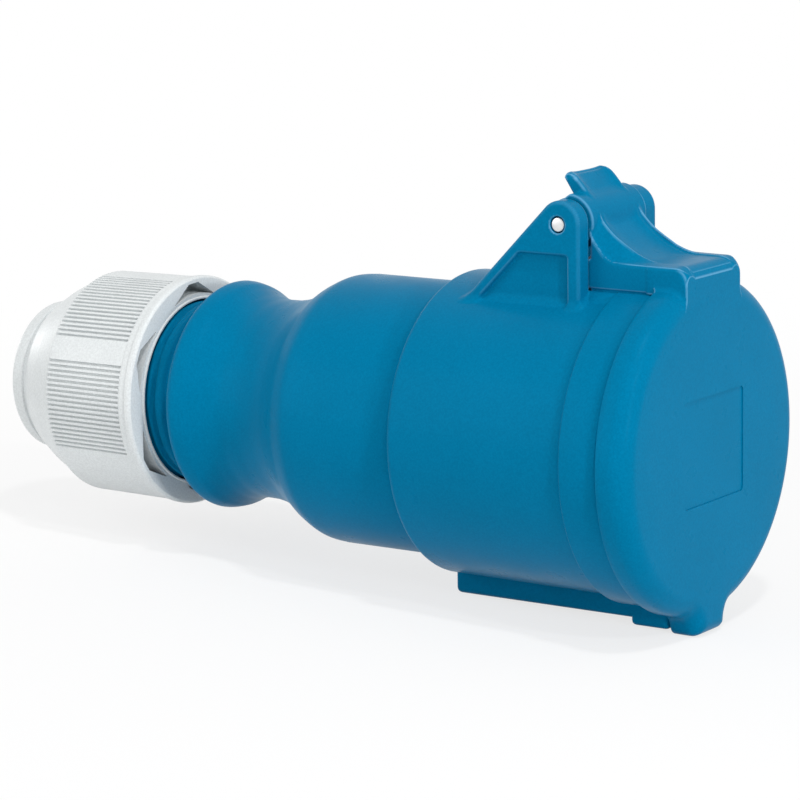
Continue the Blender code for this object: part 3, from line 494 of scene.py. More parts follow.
def joined(obj, other):
    """Merge another object's mesh into the first, with its painted highlight values."""
    bm = bmesh.new()
    bm.from_mesh(obj.data)
    bm.from_mesh(other.data)
    highlight_painted = [0.0] * len(obj.data.vertices)
    highlight_painted += list(other.get("highlight_painted", [0.0] * len(other.data.vertices)))
    bpy.data.objects.remove(other, do_unlink=True)
    bm.to_mesh(obj.data)
    bm.free()
    layer = obj.data.attributes.new("highlight_painted", "FLOAT", "POINT")
    layer.data.foreach_set("value", highlight_painted)
    return obj


# The painted highlight on edges starts at this bend.
print("edges are rubbed from a bend of", HIGHLIGHT_FROM, "per mm")

# %% [markdown]
# ## Hinge ears
#
# Two cheeks carry the lid's pin. Each is rounded about the pin, slopes
# straight down into the housing and has a sunken panel outside. Between them
# the collar's height carries on as a saddle. Extruded outlines with bevelled
# rims would stand on the shell like glued plates. As a field, one fillet ties
# ears, saddle and shell together, as the mould does.

# %% Outlines of ear and panel
PIN = Vector((-18.2, 40.3))
EAR_IN, EAR_OUT, EAR_R = 9.85, 13.3, 4.2
EAR_TOP = Vector((-17.9, 40.4))
EAR_FOOT = 22.0
PANEL_FRONT, PANEL_TOP, PANEL_DEPTH, PANEL_BORDER = -16.3, 34.8, 1.05, 2.0
slope = math.radians(45.6)
ear_line = [(EAR_TOP.x + EAR_R, EAR_FOOT)]
for k in range(25):
    a = math.radians(135.6 * k / 24)
    ear_line.append((EAR_TOP.x + EAR_R * math.cos(a), EAR_TOP.y + EAR_R * math.sin(a)))
ear_back = ear_line[-1]
ear_line.append((ear_back[0] - (ear_back[1] - EAR_FOOT) / math.tan(slope), EAR_FOOT))


def panel_x(z):
    """The sunken panel's sloping side, inside the ear's rear edge."""
    return ear_back[0] + PANEL_BORDER / math.sin(slope) - (ear_back[1] - z) / math.tan(slope)


panel_line = fillet([
    (PANEL_FRONT, 20.0, 0),
    (PANEL_FRONT, PANEL_TOP, 0.5),
    (panel_x(PANEL_TOP), PANEL_TOP, 1.3),
    (panel_x(20.0), 20.0, 0),
], closed=True)
print("ear outline:", len(ear_line), "points")

# %% Ears and saddle
SADDLE_R, SADDLE_HALF, SADDLE_REAR, SADDLE_FRONT = 29.75, 10.5, -17.8, -6.6
FAR_EXTRA = 0.6
PIN_HOLE = 1.55
TUBE_R, TUBE_TAPER = 28.73, 0.0066
EAR_FILLET, EAR_REACH = 1.25, 1.5


def ears_form(x, y, z):
    """The ears with their saddle and fillets, and how far from them the mesh reaches."""
    r = np.hypot(y, z)
    side = np.abs(y)
    outer = np.where(y > 0, EAR_OUT + FAR_EXTRA, EAR_OUT)
    middle = (EAR_IN + outer) / 2
    edge = np.where(side > middle, 0.75, 0.3)
    ear = shared(outline_field(ear_line, x, z), np.abs(side - middle) - (outer - EAR_IN) / 2, edge)
    panel = shared(outline_field(panel_line, x, z), outer - PANEL_DEPTH - side, 0.5)
    ear = shared(ear, -panel, 0.45)
    ear = shared(ear, PIN_HOLE - np.hypot(x - PIN.x, z - PIN.y), 0.15)
    ends = np.maximum(side - SADDLE_HALF, x - SADDLE_FRONT)
    saddle = shared(shared(r - SADDLE_R, SADDLE_REAR - x, 0.6), ends, 0.75)
    tube = r - (TUBE_R + (x + 8.25) * TUBE_TAPER)
    near = np.minimum(ear, saddle) - EAR_REACH
    return fused(fused(ear, saddle, 0.35), tube, EAR_FILLET), np.maximum(near, 27.6 - r)


ears = field_mesh("ears", ears_form, (-43.0, -15.4, 22.6), (-6.4, 15.4, 46.0), 0.22, 60.0)
joined(shell, ears)
dress(shell, BLUE, "housing", "blue_nylon", "front_housing")
print("housing with ears:", triangles(shell), "triangles")

# %% [markdown]
# ## Rear grip
#
# The grip is one turned form: a cylinder, a waist for the hand and a bulge.
# Its outline has no corners there, so fillets between straight lines would
# show flats. A smooth curve through measured knots is sampled instead, and
# the lathe spins it together with the stepped front and the hollow inside.

# %% A smooth curve through knots


def spline(knots, x):
    """A smooth curve through knots (x, value), sorted by x, without overshoot."""
    if x <= knots[0][0]:
        return knots[0][1]
    if x >= knots[-1][0]:
        return knots[-1][1]
    n = len(knots)
    step = [(knots[i + 1][1] - knots[i][1]) / (knots[i + 1][0] - knots[i][0]) for i in range(n - 1)]
    tangent = [step[0]]
    for i in range(1, n - 1):
        if step[i - 1] * step[i] <= 0:
            tangent.append(0.0)
        else:
            tangent.append(2 * step[i - 1] * step[i] / (step[i - 1] + step[i]))
    tangent.append(step[-1])
    i = 0
    while x > knots[i + 1][0]:
        i += 1
    h = knots[i + 1][0] - knots[i][0]
    t = (x - knots[i][0]) / h
    a, b = knots[i][1], knots[i + 1][1]
    return (a * (1 + 2 * t) * (1 - t) ** 2 + b * t * t * (3 - 2 * t)
            + h * tangent[i] * t * (1 - t) ** 2 - h * tangent[i + 1] * t * t * (1 - t))


GRIP_KNOTS = [
    (-104.0, 16.9), (-103.2, 17.6), (-102.7, 19.4), (-101.8, 21.1), (-100.1, 22.25), (-97.9, 21.85),
    (-95.9, 20.85), (-93.0, 19.75), (-90.0, 19.3), (-87.0, 19.35), (-83.7, 19.8), (-80.6, 20.7),
    (-77.5, 22.3), (-74.4, 24.3), (-71.2, 25.6), (-69.0, 25.8),
]
print("waist radius:", min(r for x, r in GRIP_KNOTS if x > -100))

# %% Rear grip
GRIP_R, GRIP_START, GRIP_LONG = 25.8, -69.0, 35.0
grip_line = []
for k in range(91):
    x = GRIP_START - GRIP_LONG * k / 90
    grip_line.append((x, spline(GRIP_KNOTS, x)))
inner = fillet([
    (-112.0, 15.0, 0), (-112.0, 10.5, 0.3), (-103.0, 10.5, 1.5), (-90.0, 16.3, 4.0),
    (-72.0, 22.4, 3.0), (-48.0, 22.4, 0.5), (-44.0, 20.9, 0.5), (-37.1, 20.9, 0),
])
front = fillet([
    (-37.1, 20.9, 0), (-37.1, 23.9, 0.4), (-39.7, 23.9, 0.1), (-39.7, 21.7, 0.2),
    (-42.3, 21.7, 0.2), (-42.3, 23.9, 0.1), (-46.3, 23.9, 0.1), (-46.3, GRIP_R, 0.5),
    (GRIP_START, GRIP_R, 0),
])
grip = lathe("grip_shell", front + grip_line[1:] + [(-104.2, 15.0)] + inner[:-1], 240)
print("grip:", triangles(grip), "triangles")

# %% [markdown]
# ## The gland's thread
#
# Behind the bulge the grip ends in a screw thread with a 2 mm pitch, and a
# run-out groove where it starts. Rings would look right at a glance, but the
# nut turns on a real helix. A flat grid from the grid operator is wrapped
# round the axis: each vertex gets the radius of a wave that shifts by one
# pitch per turn, and merging the seams closes the sheet.

# %% A sheet wrapped to shape


def sheet(rows, columns, place):
    """A grid of faces, each vertex moved to its place by row and column."""
    bm = bmesh.new()
    bmesh.ops.create_grid(bm, x_segments=rows, y_segments=columns, size=1.0)
    for v in bm.verts:
        v.co = place(round((v.co.x + 1) / 2 * rows), round((v.co.y + 1) / 2 * columns))
    return bm


def at_angle(x, r, a):
    return Vector((x, -r * math.cos(a), r * math.sin(a)))


print("a quarter turn from -Y leads to z =", at_angle(0, 1, TAU / 4).z)

# %% The gland's thread
THREAD_TOP, THREAD_DEPTH, PITCH = 17.6, 0.85, 2.0
AROUND, PER_PITCH = 120, 10
THREAD_ENDS = [(-127.9, THREAD_TOP - 1.7), (-128.0, 13.8), (-127.8, 13.6), (-116.0, 13.6),
               (-116.0, 10.5), (-103.2, 10.5)]
stations = []
x = -103.2
while x > -127.3:
    stations.append(x)
    x -= PITCH / PER_PITCH


def thread_radius(x, turn):
    """The thread's radius at a station and a share of one turn."""
    wave = 0.5 + 0.5 * math.cos(TAU * ((x + 106.9) / PITCH + turn))
    wave = min(1.0, max(0.0, wave * 1.6 - 0.25))
    begun = min(1.0, max(0.0, (-106.5 - x) / 0.8))
    groove = math.exp(-((x + 105.15) / 0.62) ** 2)
    fade = min(1.0, max(0.0, (x + 127.6) / 1.6))
    return THREAD_TOP - THREAD_DEPTH * ((1 - wave) * begun + groove) - 0.7 * (1 - fade)


def thread_place(i, j):
    i %= len(stations) + len(THREAD_ENDS)
    turn = j % AROUND / AROUND
    if i < len(stations):
        return at_angle(stations[i], thread_radius(stations[i], turn), TAU * turn)
    x, r = THREAD_ENDS[i - len(stations)]
    return at_angle(x, r, TAU * turn)


thread = mesh_object("thread", sheet(len(stations) + len(THREAD_ENDS), AROUND, thread_place), 50)
joined(grip, thread)
dress(grip, BLUE, "housing", "blue_nylon", "rear_grip")
print("grip with thread:", triangles(grip), "triangles")

# %% [markdown]
# ## Gland nut
#
# The grey nut has groups of fine ribs with smooth bands between them, a
# beaded flange, a tapering shoulder and a small rear ring. Each rib could be
# a thin box in an array, but more than a hundred Booleans are slow and leave
# slivers. The same wrapped sheet does it: its columns stand at the edges of
# the ribs, and along each row they lie at one of two radii.

# %% Stations of the nut
GREY = moulded("grey_nylon", (0.70, 0.73, 0.735, 1), (0.65, 0.68, 0.685, 1), roughness=0.42,
               grain=0.02, gloss=0.25)
RIBS, GROUP, BAND = 19, math.radians(48.5), math.radians(11.5)
FIRST_GROUP, FIRST_BAND = -4, 26
SMOOTH_GROUPS = (2, 5)
RIB_DEPTH = 0.58
rib_angles = []
for k in range(6):
    middle = math.radians(FIRST_GROUP + 60 * k)
    pitch = GROUP / RIBS
    floor_up = 1 if k in SMOOTH_GROUPS else 0
    for i in range(RIBS):
        a = middle - GROUP / 2 + pitch * i
        rib_angles += [(a, 1), (a + pitch * 0.48, 1)]
        rib_angles += [(a + pitch * 0.56, floor_up), (a + pitch * 0.92, floor_up)]
    rib_angles.append((middle + GROUP / 2, 1))
    for i in range(1, 4):
        rib_angles.append((middle + GROUP / 2 + BAND * i / 4, 1))


def nut_radius(x):
    """The ribbed part tapers a little towards the rear."""
    return 21.95 + (x + 130.8) * 0.012


print("columns round the nut:", len(rib_angles))

# %% Gland nut
flange = fillet([
    (-109.6, 18.9, 0), (-109.6, 22.15, 0.3), (-110.1, 22.55, 0.35), (-111.0, 22.55, 0.25),
    (-111.15, 22.3, 0.2), (-112.45, 22.3, 0.2), (-112.55, 22.17, 0),
], 6)
shoulder = fillet([
    (-131.05, 21.40, 0), (-131.6, 21.25, 0.5), (-136.6, 18.85, 6), (-140.9, 16.2, 3.0),
    (-142.3, 14.75, 1.5), (-142.95, 14.5, 0.3), (-143.05, 14.95, 0.25), (-146.2, 14.75, 1.3),
    (-146.2, 11.2, 0.8), (-145.0, 10.0, 0.8), (-141.3, 10.0, 0.5), (-130.3, 14.0, 0),
    (-130.3, 17.9, 0), (-110.0, 17.9, 0),
], 6)
INNER_RIM = [(-109.5, 18.0), (-109.32, 18.1), (-109.3, 18.35), (-109.45, 18.5), (-109.6, 18.55)]
nut_rows = [(x, r, r) for x, r in flange[1:]]
nut_rows += [(-112.75, 22.17, 22.17), (-112.8, 22.16, 21.72)]
for k in range(9):
    x = -113.0 - 17.7 * k / 8
    nut_rows.append((x, nut_radius(x), nut_radius(x) - RIB_DEPTH))
nut_rows += [(-130.85, 21.93, 21.48), (-131.05, 21.75, 21.42)]
nut_rows += [(x, r, r) for x, r in shoulder + INNER_RIM]


def nut_place(i, j):
    x, high, low = nut_rows[i % len(nut_rows)]
    a, up = rib_angles[j % len(rib_angles)]
    return at_angle(x, high if up else low, a)


NUT_SMOOTH = 32
nut = mesh_object("nut_shell", sheet(len(nut_rows), len(rib_angles), nut_place), NUT_SMOOTH)
print("nut:", triangles(nut), "triangles")

# %% [markdown]
# ## Pockets in the nut's face
#
# The mould leaves six hollows in the nut's front face, behind the smooth
# bands, so that the wall stays thin. An inset face pushed inwards would
# follow the ribs' columns. A filleted outline, extruded and cut away, keeps
# its own round corners.

# %% Pockets in the nut's face


def prism(name, points, half, station):
    """A flat outline (y, z), extruded along X to both sides of a station."""
    bm = bmesh.new()
    face = bm.faces.new([bm.verts.new((station - half, y, z)) for y, z in points])
    grown = bmesh.ops.extrude_face_region(bm, geom=[face])
    moved = [v for v in grown["geom"] if isinstance(v, bmesh.types.BMVert)]
    bmesh.ops.translate(bm, vec=(2 * half, 0, 0), verts=moved)
    return mesh_object(name, bm)


POCKET_IN, POCKET_OUT = 19.15, 21.5
POCKET_HALF, POCKET_TIP = math.radians(21.0), math.radians(4.0)
for k in range(6):
    band = math.radians(FIRST_BAND + 60 * k)
    spots = [(POCKET_IN, band - POCKET_HALF + 2 * POCKET_HALF * i / 8) for i in range(9)]
    spots += [(POCKET_OUT, band + POCKET_TIP), (POCKET_OUT, band - POCKET_TIP)]
    ring = fillet([(-r * math.cos(a), r * math.sin(a), 0.25) for r, a in spots], 3, closed=True)
    boolean(nut, prism("pocket", ring, 7.0, -108.5), "DIFFERENCE", NUT_SMOOTH)
dress(nut, GREY, "gland_nut", "grey_nylon", "gland_nut")
print("nut with pockets:", triangles(nut), "triangles")

# %% [markdown]
# ## Lid
#
# The lid is a disc with a rounded rim, and its latch lug grows out of the
# bottom with soft inside corners. A disc and a box in a Boolean would meet in
# two hard creases that the rim's bevel couldn't cross. So a distance formula
# gives the joint outline, and rings at growing depth inside it, again a
# wrapped sheet, make the rim follow the lug.

# %% The lid's outline
LID_R, LUG_HALF, LUG_LOW = 31.0, 5.1, -34.35
LUG_BEARING = 270


def box_distance(y, z, half_w, low, high, corner):
    qy = abs(y) - (half_w - corner)
    qz = abs(z - (low + high) / 2) - ((high - low) / 2 - corner)
    return math.hypot(max(qy, 0), max(qz, 0)) + min(max(qy, qz), 0) - corner


def soft_min(a, b, k):
    h = max(k - abs(a - b), 0) / k
    return min(a, b) - h * h * k / 4


def lid_distance(y, z):
    disc = math.hypot(y, z) - LID_R
    return soft_min(disc, box_distance(y, z, LUG_HALF, LUG_LOW, -10, 1.8), 3.2)


def lid_reach(a, depth):
    """How far from the axis the outline lies at an angle, less a depth."""
    low, high = 20.0, 36.0
    y, z = -math.cos(a), math.sin(a)
    for _ in range(34):
        mid = (low + high) / 2
        if lid_distance(y * mid, z * mid) > -depth:
            high = mid
        else:
            low = mid
    return low


print("lug reaches", round(lid_reach(math.radians(LUG_BEARING), 0), 2), "mm down")

# %% Lid disc and lug
LID_FRONT = 6.3
RIM_R, LUG_TIGHTER = 3.7, 1.0
BACK_ROWS = [(0.0, 0.35), (0.1, 0.1), (0.35, 0.0), (1.5, 0.0)]
FACE_SHRINK = (0.8, 0.5, 0.2)
RIM_STEPS = 12
lid_angles = []
a = 0.0
while a < 360.0:
    lid_angles.append(math.radians(a))
    near_lug = min(abs(a - LUG_BEARING - 9.3), abs(a - LUG_BEARING + 9.3))
    a += 0.25 if near_lug < 2.5 else 1.0


def rim_radius(a):
    """The rim's rounding: wide on the disc, tighter on the lug."""
    lug = max(0.0, min(1.0, (14.0 - abs(math.degrees(a) - LUG_BEARING)) / 6.0))
    return RIM_R - LUG_TIGHTER * lug


def lid_place(i, j):
    a = lid_angles[j % len(lid_angles)]
    if i < len(BACK_ROWS):
        x, depth = BACK_ROWS[i]
        return at_angle(x, lid_reach(a, depth), a)
    rim = rim_radius(a)
    i -= len(BACK_ROWS)
    if i <= RIM_STEPS:
        s = math.radians(90 * i / RIM_STEPS)
        return at_angle(LID_FRONT - rim + rim * math.sin(s), lid_reach(a, rim * (1 - math.cos(s))), a)
    return at_angle(LID_FRONT, lid_reach(a, rim) * FACE_SHRINK[i - RIM_STEPS - 1], a)


bm = sheet(len(BACK_ROWS) + RIM_STEPS + len(FACE_SHRINK), len(lid_angles), lid_place)
bmesh.ops.remove_doubles(bm, verts=bm.verts, dist=0.0005)
bmesh.ops.edgeloop_fill(bm, edges=[e for e in bm.edges if e.is_boundary])
lid = mesh_object("lid_shell", bm)
print("lid disc:", triangles(lid), "triangles")

# %% Hollow and label field
hollow = lathe("hollow", fillet([
    (4.1, 0.0, 0), (4.1, 23.6, 0.8), (2.4, 25.3, 0.2), (2.4, 28.8, 0.2), (-1.0, 28.8, 0), (-1.0, 0.0, 0),
], 5), 192, closed=False)
boolean(lid, hollow, "DIFFERENCE")
LABEL_Y, LABEL_Z, LABEL_FLOOR = 10.55, 9.7, 6.08
label = fillet([(-LABEL_Y, -LABEL_Z, 0.8), (LABEL_Y, -LABEL_Z, 0.8), (LABEL_Y, LABEL_Z, 0.8),
                (-LABEL_Y, LABEL_Z, 0.8)], closed=True)
boolean(lid, prism("recess", label, 1.0, LABEL_FLOOR + 1.0), "DIFFERENCE")
print("lid, hollowed:", triangles(lid), "triangles")

# %% [markdown]
# ## The lid's arm and thumb tab
#
# A block on the lid's rim reaches back over the collar. From it an arm with
# two thin ribs climbs round the hinge barrel, and the dished saddle between
# the ribs runs on into the face of the thumb tab. Sculpting it from a
# subdivided cage is possible, but the ribs' crests and the barrel's round
# would drift. Side views of each crest are drawn as curves instead, and the
# field tool blends the forms that they bound.

# %% Curves of arm and tab
RIB_TOP = [
    (-13.9, 42.2), (-13.24, 41.4), (-11.9, 39.8), (-10.84, 38.75), (-9.77, 37.85), (-8.17, 36.8),
    (-6.3, 35.7), (-5.34, 35.15), (-2.51, 34.15), (-0.4, 33.8), (6.5, 33.75),
]
SIDE_TOP = [
    (-15.6, 41.0), (-13.9, 38.7), (-12.24, 36.35), (-10.58, 34.5), (-8.68, 33.65), (-2.0, 33.45),
    (6.5, 33.4),
]
FACE_LINE = [
    (-19.0, 48.45), (-17.6, 47.05), (-16.2, 45.4), (-14.9, 43.5), (-13.7, 41.65), (-12.3, 39.7),
    (-11.2, 38.55), (-8.6, 36.45), (-6.5, 35.2), (-2.6, 33.75), (-0.4, 33.4), (6.5, 33.35),
]
TAB_BACK = [
    (6.5, 30.0), (-12.0, 34.0), (-14.5, 40.0), (-17.2, 43.5), (-19.15, 45.0), (-20.2, 46.6),
    (-21.05, 47.9), (-20.9, 48.62), (-20.4, 48.9), (-19.5, 48.78),
]
face_curve = [(-19.0 + 25.5 * k / 60, spline(FACE_LINE, -19.0 + 25.5 * k / 60)) for k in range(61)]
tab_line = face_curve + TAB_BACK


def curve_of(knots):
    """A smooth curve as a table, quick to read at many places."""
    xs = np.linspace(knots[0][0], knots[-1][0], 240)
    ys = np.array([spline(knots, x) for x in xs])
    return lambda x: np.interp(x, xs, ys)


rib_top = curve_of(RIB_TOP)
side_top = curve_of(SIDE_TOP)
print("tab outline:", len(tab_line), "points")

# %% Arm, barrel and tab
ARM_HALF, RIB_FOOT, RIB_INSIDE = 9.35, 7.1, 6.6
BLOCK_FRONT, BLOCK_HALF, BLOCK_STEP, BLOCK_STEP_X = 6.27, 9.55, 0.15, -2.3
UNDER_REAR, UNDER_FRONT = 30.45, 30.2
TAB_HALF, TAB_FOOT_WIDER, DISH_DEPTH = 6.4, 1.0, 0.5
BARREL_R, BARREL_FRONT_EXTRA = 4.4, 0.7
SPRING_R, SPRING_HALF, PIN_BORE = 3.3, 4.3, 1.7
SKIN = 0.02


def ribs_field(x, side, z):
    """Two thin ribs: a sloping flank outside, a crest and an inner wall."""
    rib_z, side_z = rib_top(x), side_top(x)
    fall = ARM_HALF - RIB_FOOT
    drop = rib_z - side_z
    flank = ((side - ARM_HALF) * drop + (z - side_z) * fall) / np.hypot(fall, drop) / 1.15
    rib = shared(shared(flank, (z - rib_z - 0.1) / 1.35, 0.3), RIB_INSIDE - side, 0.3)
    return np.maximum(np.maximum(rib, side - ARM_HALF), -13.6 - x)


def block_field(x, side, z, r):
    """The block over the collar, stepped wider in front and notched behind."""
    wide = BLOCK_HALF + BLOCK_STEP * np.clip((x - BLOCK_STEP_X) / 0.6, 0, 1)
    under = np.where(x < -2.0, UNDER_REAR, UNDER_FRONT) - r
    under = np.where(x < 0, under, -9.0)
    rear = np.minimum(np.maximum(-15.7 - x, z - 33.9), -13.35 - x)
    block = shared(shared(z - side_top(x), x - BLOCK_FRONT, 1.9), side - wide, 0.6)
    return shared(np.maximum(block, under), rear, 0.2)


def tab_field(x, side, z):
    """The thumb tab and the dished saddle below it."""
    half = TAB_HALF + TAB_FOOT_WIDER * np.clip((44.2 - z) / 2.5, 0, 1)
    dish = DISH_DEPTH * (1 - (np.minimum(side, 5.5) / 5.5) ** 4)
    dish = dish * np.clip((1.0 - x) / 4.0, 0, 1) * np.clip((x - z + 69.6) / 1.2, 0, 1)
    tab = shared(outline_field(tab_line, x, z) + dish, side - half, 0.45)
    return shared(tab, 0.75 * (z - 48.7) + 0.66 * (side - 5.9), 0.6)


def arm_form(x, y, z):
    """The arm on its piece of lid, a skin's depth inside the real one, and its limit."""
    r = np.hypot(y, z)
    side = np.abs(y)
    pin_r = np.hypot(x - PIN.x, z - PIN.y)
    bulk = BARREL_R + BARREL_FRONT_EXTRA * np.clip((x - PIN.x + 1.0) / 1.2, 0, 1)
    barrel = shared(pin_r - bulk, side - ARM_HALF, 0.4)
    arm = fused(tab_field(x, side, z), ribs_field(x, side, z), 0.16)
    arm = fused(arm, block_field(x, side, z, r), 0.5)
    arm = shared(arm, 0.8 * (x - 6.0) + 0.6 * (z - 33.4) + 0.6, 1.2)
    arm = fused(np.maximum(arm, x - BLOCK_FRONT), barrel, 0.5)
    disc = shared(np.maximum(r - LID_R + SKIN, -x), x - LID_FRONT + SKIN, RIM_R)
    whole = np.maximum(fused(arm, disc, 0.8), x - LID_FRONT + SKIN)
    spring = np.maximum(pin_r - SPRING_R, side - SPRING_HALF)
    mouth = np.maximum(np.maximum(side - SPRING_HALF, z - PIN.y),
                       np.maximum(x - PIN.x - SPRING_R, PIN.x - 8.0 - x))
    whole = shared(whole, -np.minimum(spring, mouth), 0.15)
    whole = np.maximum(whole, PIN_BORE - pin_r)
    return whole, np.maximum(np.minimum(arm, barrel) - 1.0, 26.0 - r)


arm = field_mesh("arm", arm_form, (-21.8, -10.9, 25.4), (6.9, 10.9, 49.8), 0.2, 50.0)
joined(lid, arm)
dress(lid, BLUE, "lid", "blue_nylon", "lid")
print("lid with arm:", triangles(lid), "triangles")

# %% [markdown]
# ## Hinge pin
#
# A zinc-plated steel pin, riveted at both ends, holds the lid. A cone of equal
# radii gives the bar and a bevel its rounded ends. The metal is one Metallic
# shader, and noise drives its tone, roughness and bump, because a perfectly
# even plating would look like chrome.

# %% Metal and hinge pin


def metal(name, colour, dark, roughness, grain):
    """Turned or plated metal with a fine uneven surface."""
    mat, tree, shader = nodes_of(name)
    coord = tree.nodes.new("ShaderNodeTexCoord")
    drift = noise(tree, coord, 240.0, 4.0)
    tone = ramp(tree, drift.outputs["Fac"], 0.3, 0.7, dark, colour)
    tree.links.new(tone.outputs["Color"], shader.inputs["Base Color"])
    shader.inputs["Metallic"].default_value = 1.0
    patchy = spread(tree, drift.outputs["Fac"], roughness * 0.75, roughness * 1.3)
    tree.links.new(patchy.outputs["Result"], shader.inputs["Roughness"])
    rough = bump(tree, noise(tree, coord, 900.0, 3.0).outputs["Fac"], grain, 0.00005)
    tree.links.new(rough.outputs["Normal"], shader.inputs["Normal"])
    return mat


def rod(name, radius, start, end, edge, steps=48):
    """A round bar between two points in millimetres, with rounded ends."""
    start = Vector(start)
    end = Vector(end)
    bm = bmesh.new()
    bmesh.ops.create_cone(bm, cap_ends=True, segments=steps, radius1=radius, radius2=radius,
                          depth=(end - start).length)
    rim = [e for e in bm.edges if abs(e.verts[0].co.z - e.verts[1].co.z) < 1e-6]
    bmesh.ops.bevel(bm, geom=rim, offset=edge, segments=4, profile=0.5, affect="EDGES", material=-1)
    turn = (end - start).to_track_quat("Z", "Y").to_matrix().to_4x4()
    bm.transform(Matrix.Translation((start + end) / 2) @ turn)
    return mesh_object(name, bm)


STEEL = metal("zinc_steel", (0.74, 0.75, 0.75, 1), (0.58, 0.59, 0.59, 1), 0.34, 0.14)
BRASS = metal("contact_brass", (0.80, 0.60, 0.26, 1), (0.66, 0.47, 0.18, 1), 0.26, 0.10)
pin = rod("pin", 1.35, (PIN.x, -13.15, PIN.y), (PIN.x, 13.4, PIN.y), edge=0.3)
dress(pin, STEEL, "housing", "zinc_steel", "hinge_pin")
print("pin:", triangles(pin), "triangles")

# %% [markdown]
# ## Lid gasket
#
# A rubber ring in the lid presses on the shroud's edge and keeps water out.
# A torus would be round all the way, but the real lip is pointed, so the ring
# is a small filleted profile on the lathe. Rubber is dark and matt, with dust
# in its pores.

# %% Rubber and lid gasket


def rubber(name, colour):
    mat, tree, shader = nodes_of(name)
    coord = tree.nodes.new("ShaderNodeTexCoord")
    pale = tuple(c * 1.7 for c in colour[:3]) + (1.0,)
    tone = ramp(tree, noise(tree, coord, 420.0, 5.0).outputs["Fac"], 0.35, 0.8, colour, pale)
    tree.links.new(tone.outputs["Color"], shader.inputs["Base Color"])
    shader.inputs["Roughness"].default_value = 0.62
    rough = bump(tree, noise(tree, coord, 1800.0, 2.0).outputs["Fac"], 0.25, 0.00006)
    tree.links.new(rough.outputs["Normal"], shader.inputs["Normal"])
    return mat


RUBBER = rubber("seal_rubber", (0.020, 0.020, 0.021, 1))
gasket = lathe("gasket", fillet([
    (2.1, 28.5, 0.2), (0.5, 28.5, 0.3), (0.2, 27.6, 0.3), (0.0, 27.0, 0.35), (0.3, 26.4, 0.3),
    (0.9, 25.6, 0.4), (2.1, 25.6, 0.2),
], closed=True), 160)
dress(gasket, RUBBER, "lid", "seal_rubber", "lid_gasket")
print("gasket:", triangles(gasket), "triangles")

# %% [markdown]
# ## Contact insert
#
# Behind the lid sits a dark round insert with three holes for the plug's
# pins, the lowest one wider. Its body is turned, and each hole is one more
# small turned form with a funnel mouth, placed off the axis and cut away.
# Drawing circles into the face would leave it without depth.

# %% Contact insert
INSERT = moulded("insert_plastic", (0.055, 0.060, 0.064, 1), (0.040, 0.044, 0.048, 1),
                 roughness=0.5, grain=0.3)
PIN_CIRCLE = 10.9
PIN_HOLES = ((30, 3.15, 4.9), (150, 3.15, 4.9), (270, 3.75, 5.4))
carrier = lathe("insert_front", fillet([
    (0.0, 0.0, 0), (0.0, 17.6, 0.5), (-0.8, 18.4, 0.4), (-33.8, 18.4, 0.3), (-33.8, 23.9, 0.3),
    (-36.8, 23.9, 0.3), (-36.8, 0.0, 0),
]), 160, closed=False)
for degrees, hole_r, bay_r in PIN_HOLES:
    bearing = math.radians(degrees)
    funnel = lathe("funnel", [
        (1.0, 0.0), (1.0, hole_r + 1.7), (-0.7, hole_r), (-7.0, hole_r), (-7.0, bay_r - 0.2),
        (-34.8, bay_r - 0.2), (-34.8, 0.0),
    ], 48, closed=False, centre=(PIN_CIRCLE * math.cos(bearing), PIN_CIRCLE * math.sin(bearing)))
    boolean(carrier, funnel, "DIFFERENCE")
dress(carrier, INSERT, "housing", "insert_plastic", "contact_carrier_front")
print("insert:", triangles(carrier), "triangles")

# %% [markdown]
# ## The pieces that stay as they are
#
# Contacts, screws, springs, seals and clamp cage hardly show, and their CAD
# meshes are fine enough. Modelling them again would add nothing, so they only
# get their materials: brass, plated steel, rubber and two more nylons.

# %% Dress the CAD nodes
CLAMP = moulded("clamp_nylon", (0.50, 0.52, 0.52, 1), (0.44, 0.46, 0.46, 1), roughness=0.5, grain=0.2)
DRESS = {
    "contact_carrier_rear": INSERT, "gland_clamp_cage": CLAMP, "gland_seal": RUBBER,
    "housing_seal": RUBBER, "lid_spring": STEEL, "carrier_screw_near": STEEL, "carrier_screw_far": STEEL,
}
for pole in ("line", "neutral", "earth"):
    DRESS["contact_sleeve_" + pole] = BRASS
    DRESS["sleeve_spring_ring_" + pole] = STEEL
    DRESS["terminal_screw_" + pole] = STEEL
for name, mat in DRESS.items():
    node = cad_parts[name]
    node.data.materials.clear()
    node.data.materials.append(mat)
print("CAD nodes dressed:", len(DRESS))

# %% [markdown]
# ## Floor and background
#
# The coupler was photographed on white. A floor lit to pure white would need
# so much light that the pale nut would clip. So the floor and the world only
# look white to the rays that see them, from the camera or by reflection, and
# light the object at a plain level. The floor keeps a share of its real
# shading near the object, which is where the shadow falls.

# %% White floor
FLOOR_SLOPE = math.radians(2.4)
SHADOW_NEAR, SHADOW_FAR, SHADOW_SHARE = 0.10, 0.34, 0.74
bm = bmesh.new()
bmesh.ops.create_grid(bm, x_segments=1, y_segments=1, size=1.5)
mesh = bpy.data.meshes.new("floor")
bm.to_mesh(mesh)
bm.free()
floor = bpy.data.objects.new("floor", mesh)
bpy.context.scene.collection.objects.link(floor)
floor.rotation_euler = (0, FLOOR_SLOPE, 0)
floor.location = (0.005, 0, -0.03442)


def white_rays(tree):
    """1 for the rays that see the white background, 0 for those that light the object."""
    path = tree.nodes.new("ShaderNodeLightPath")
    found = path.outputs["Is Camera Ray"]
    for kind in ("Is Glossy Ray", "Is Transmission Ray"):
        either = tree.nodes.new("ShaderNodeMath")
        either.operation = "MAXIMUM"
        tree.links.new(found, either.inputs[0])
        tree.links.new(path.outputs[kind], either.inputs[1])
        found = either.outputs["Value"]
    return found


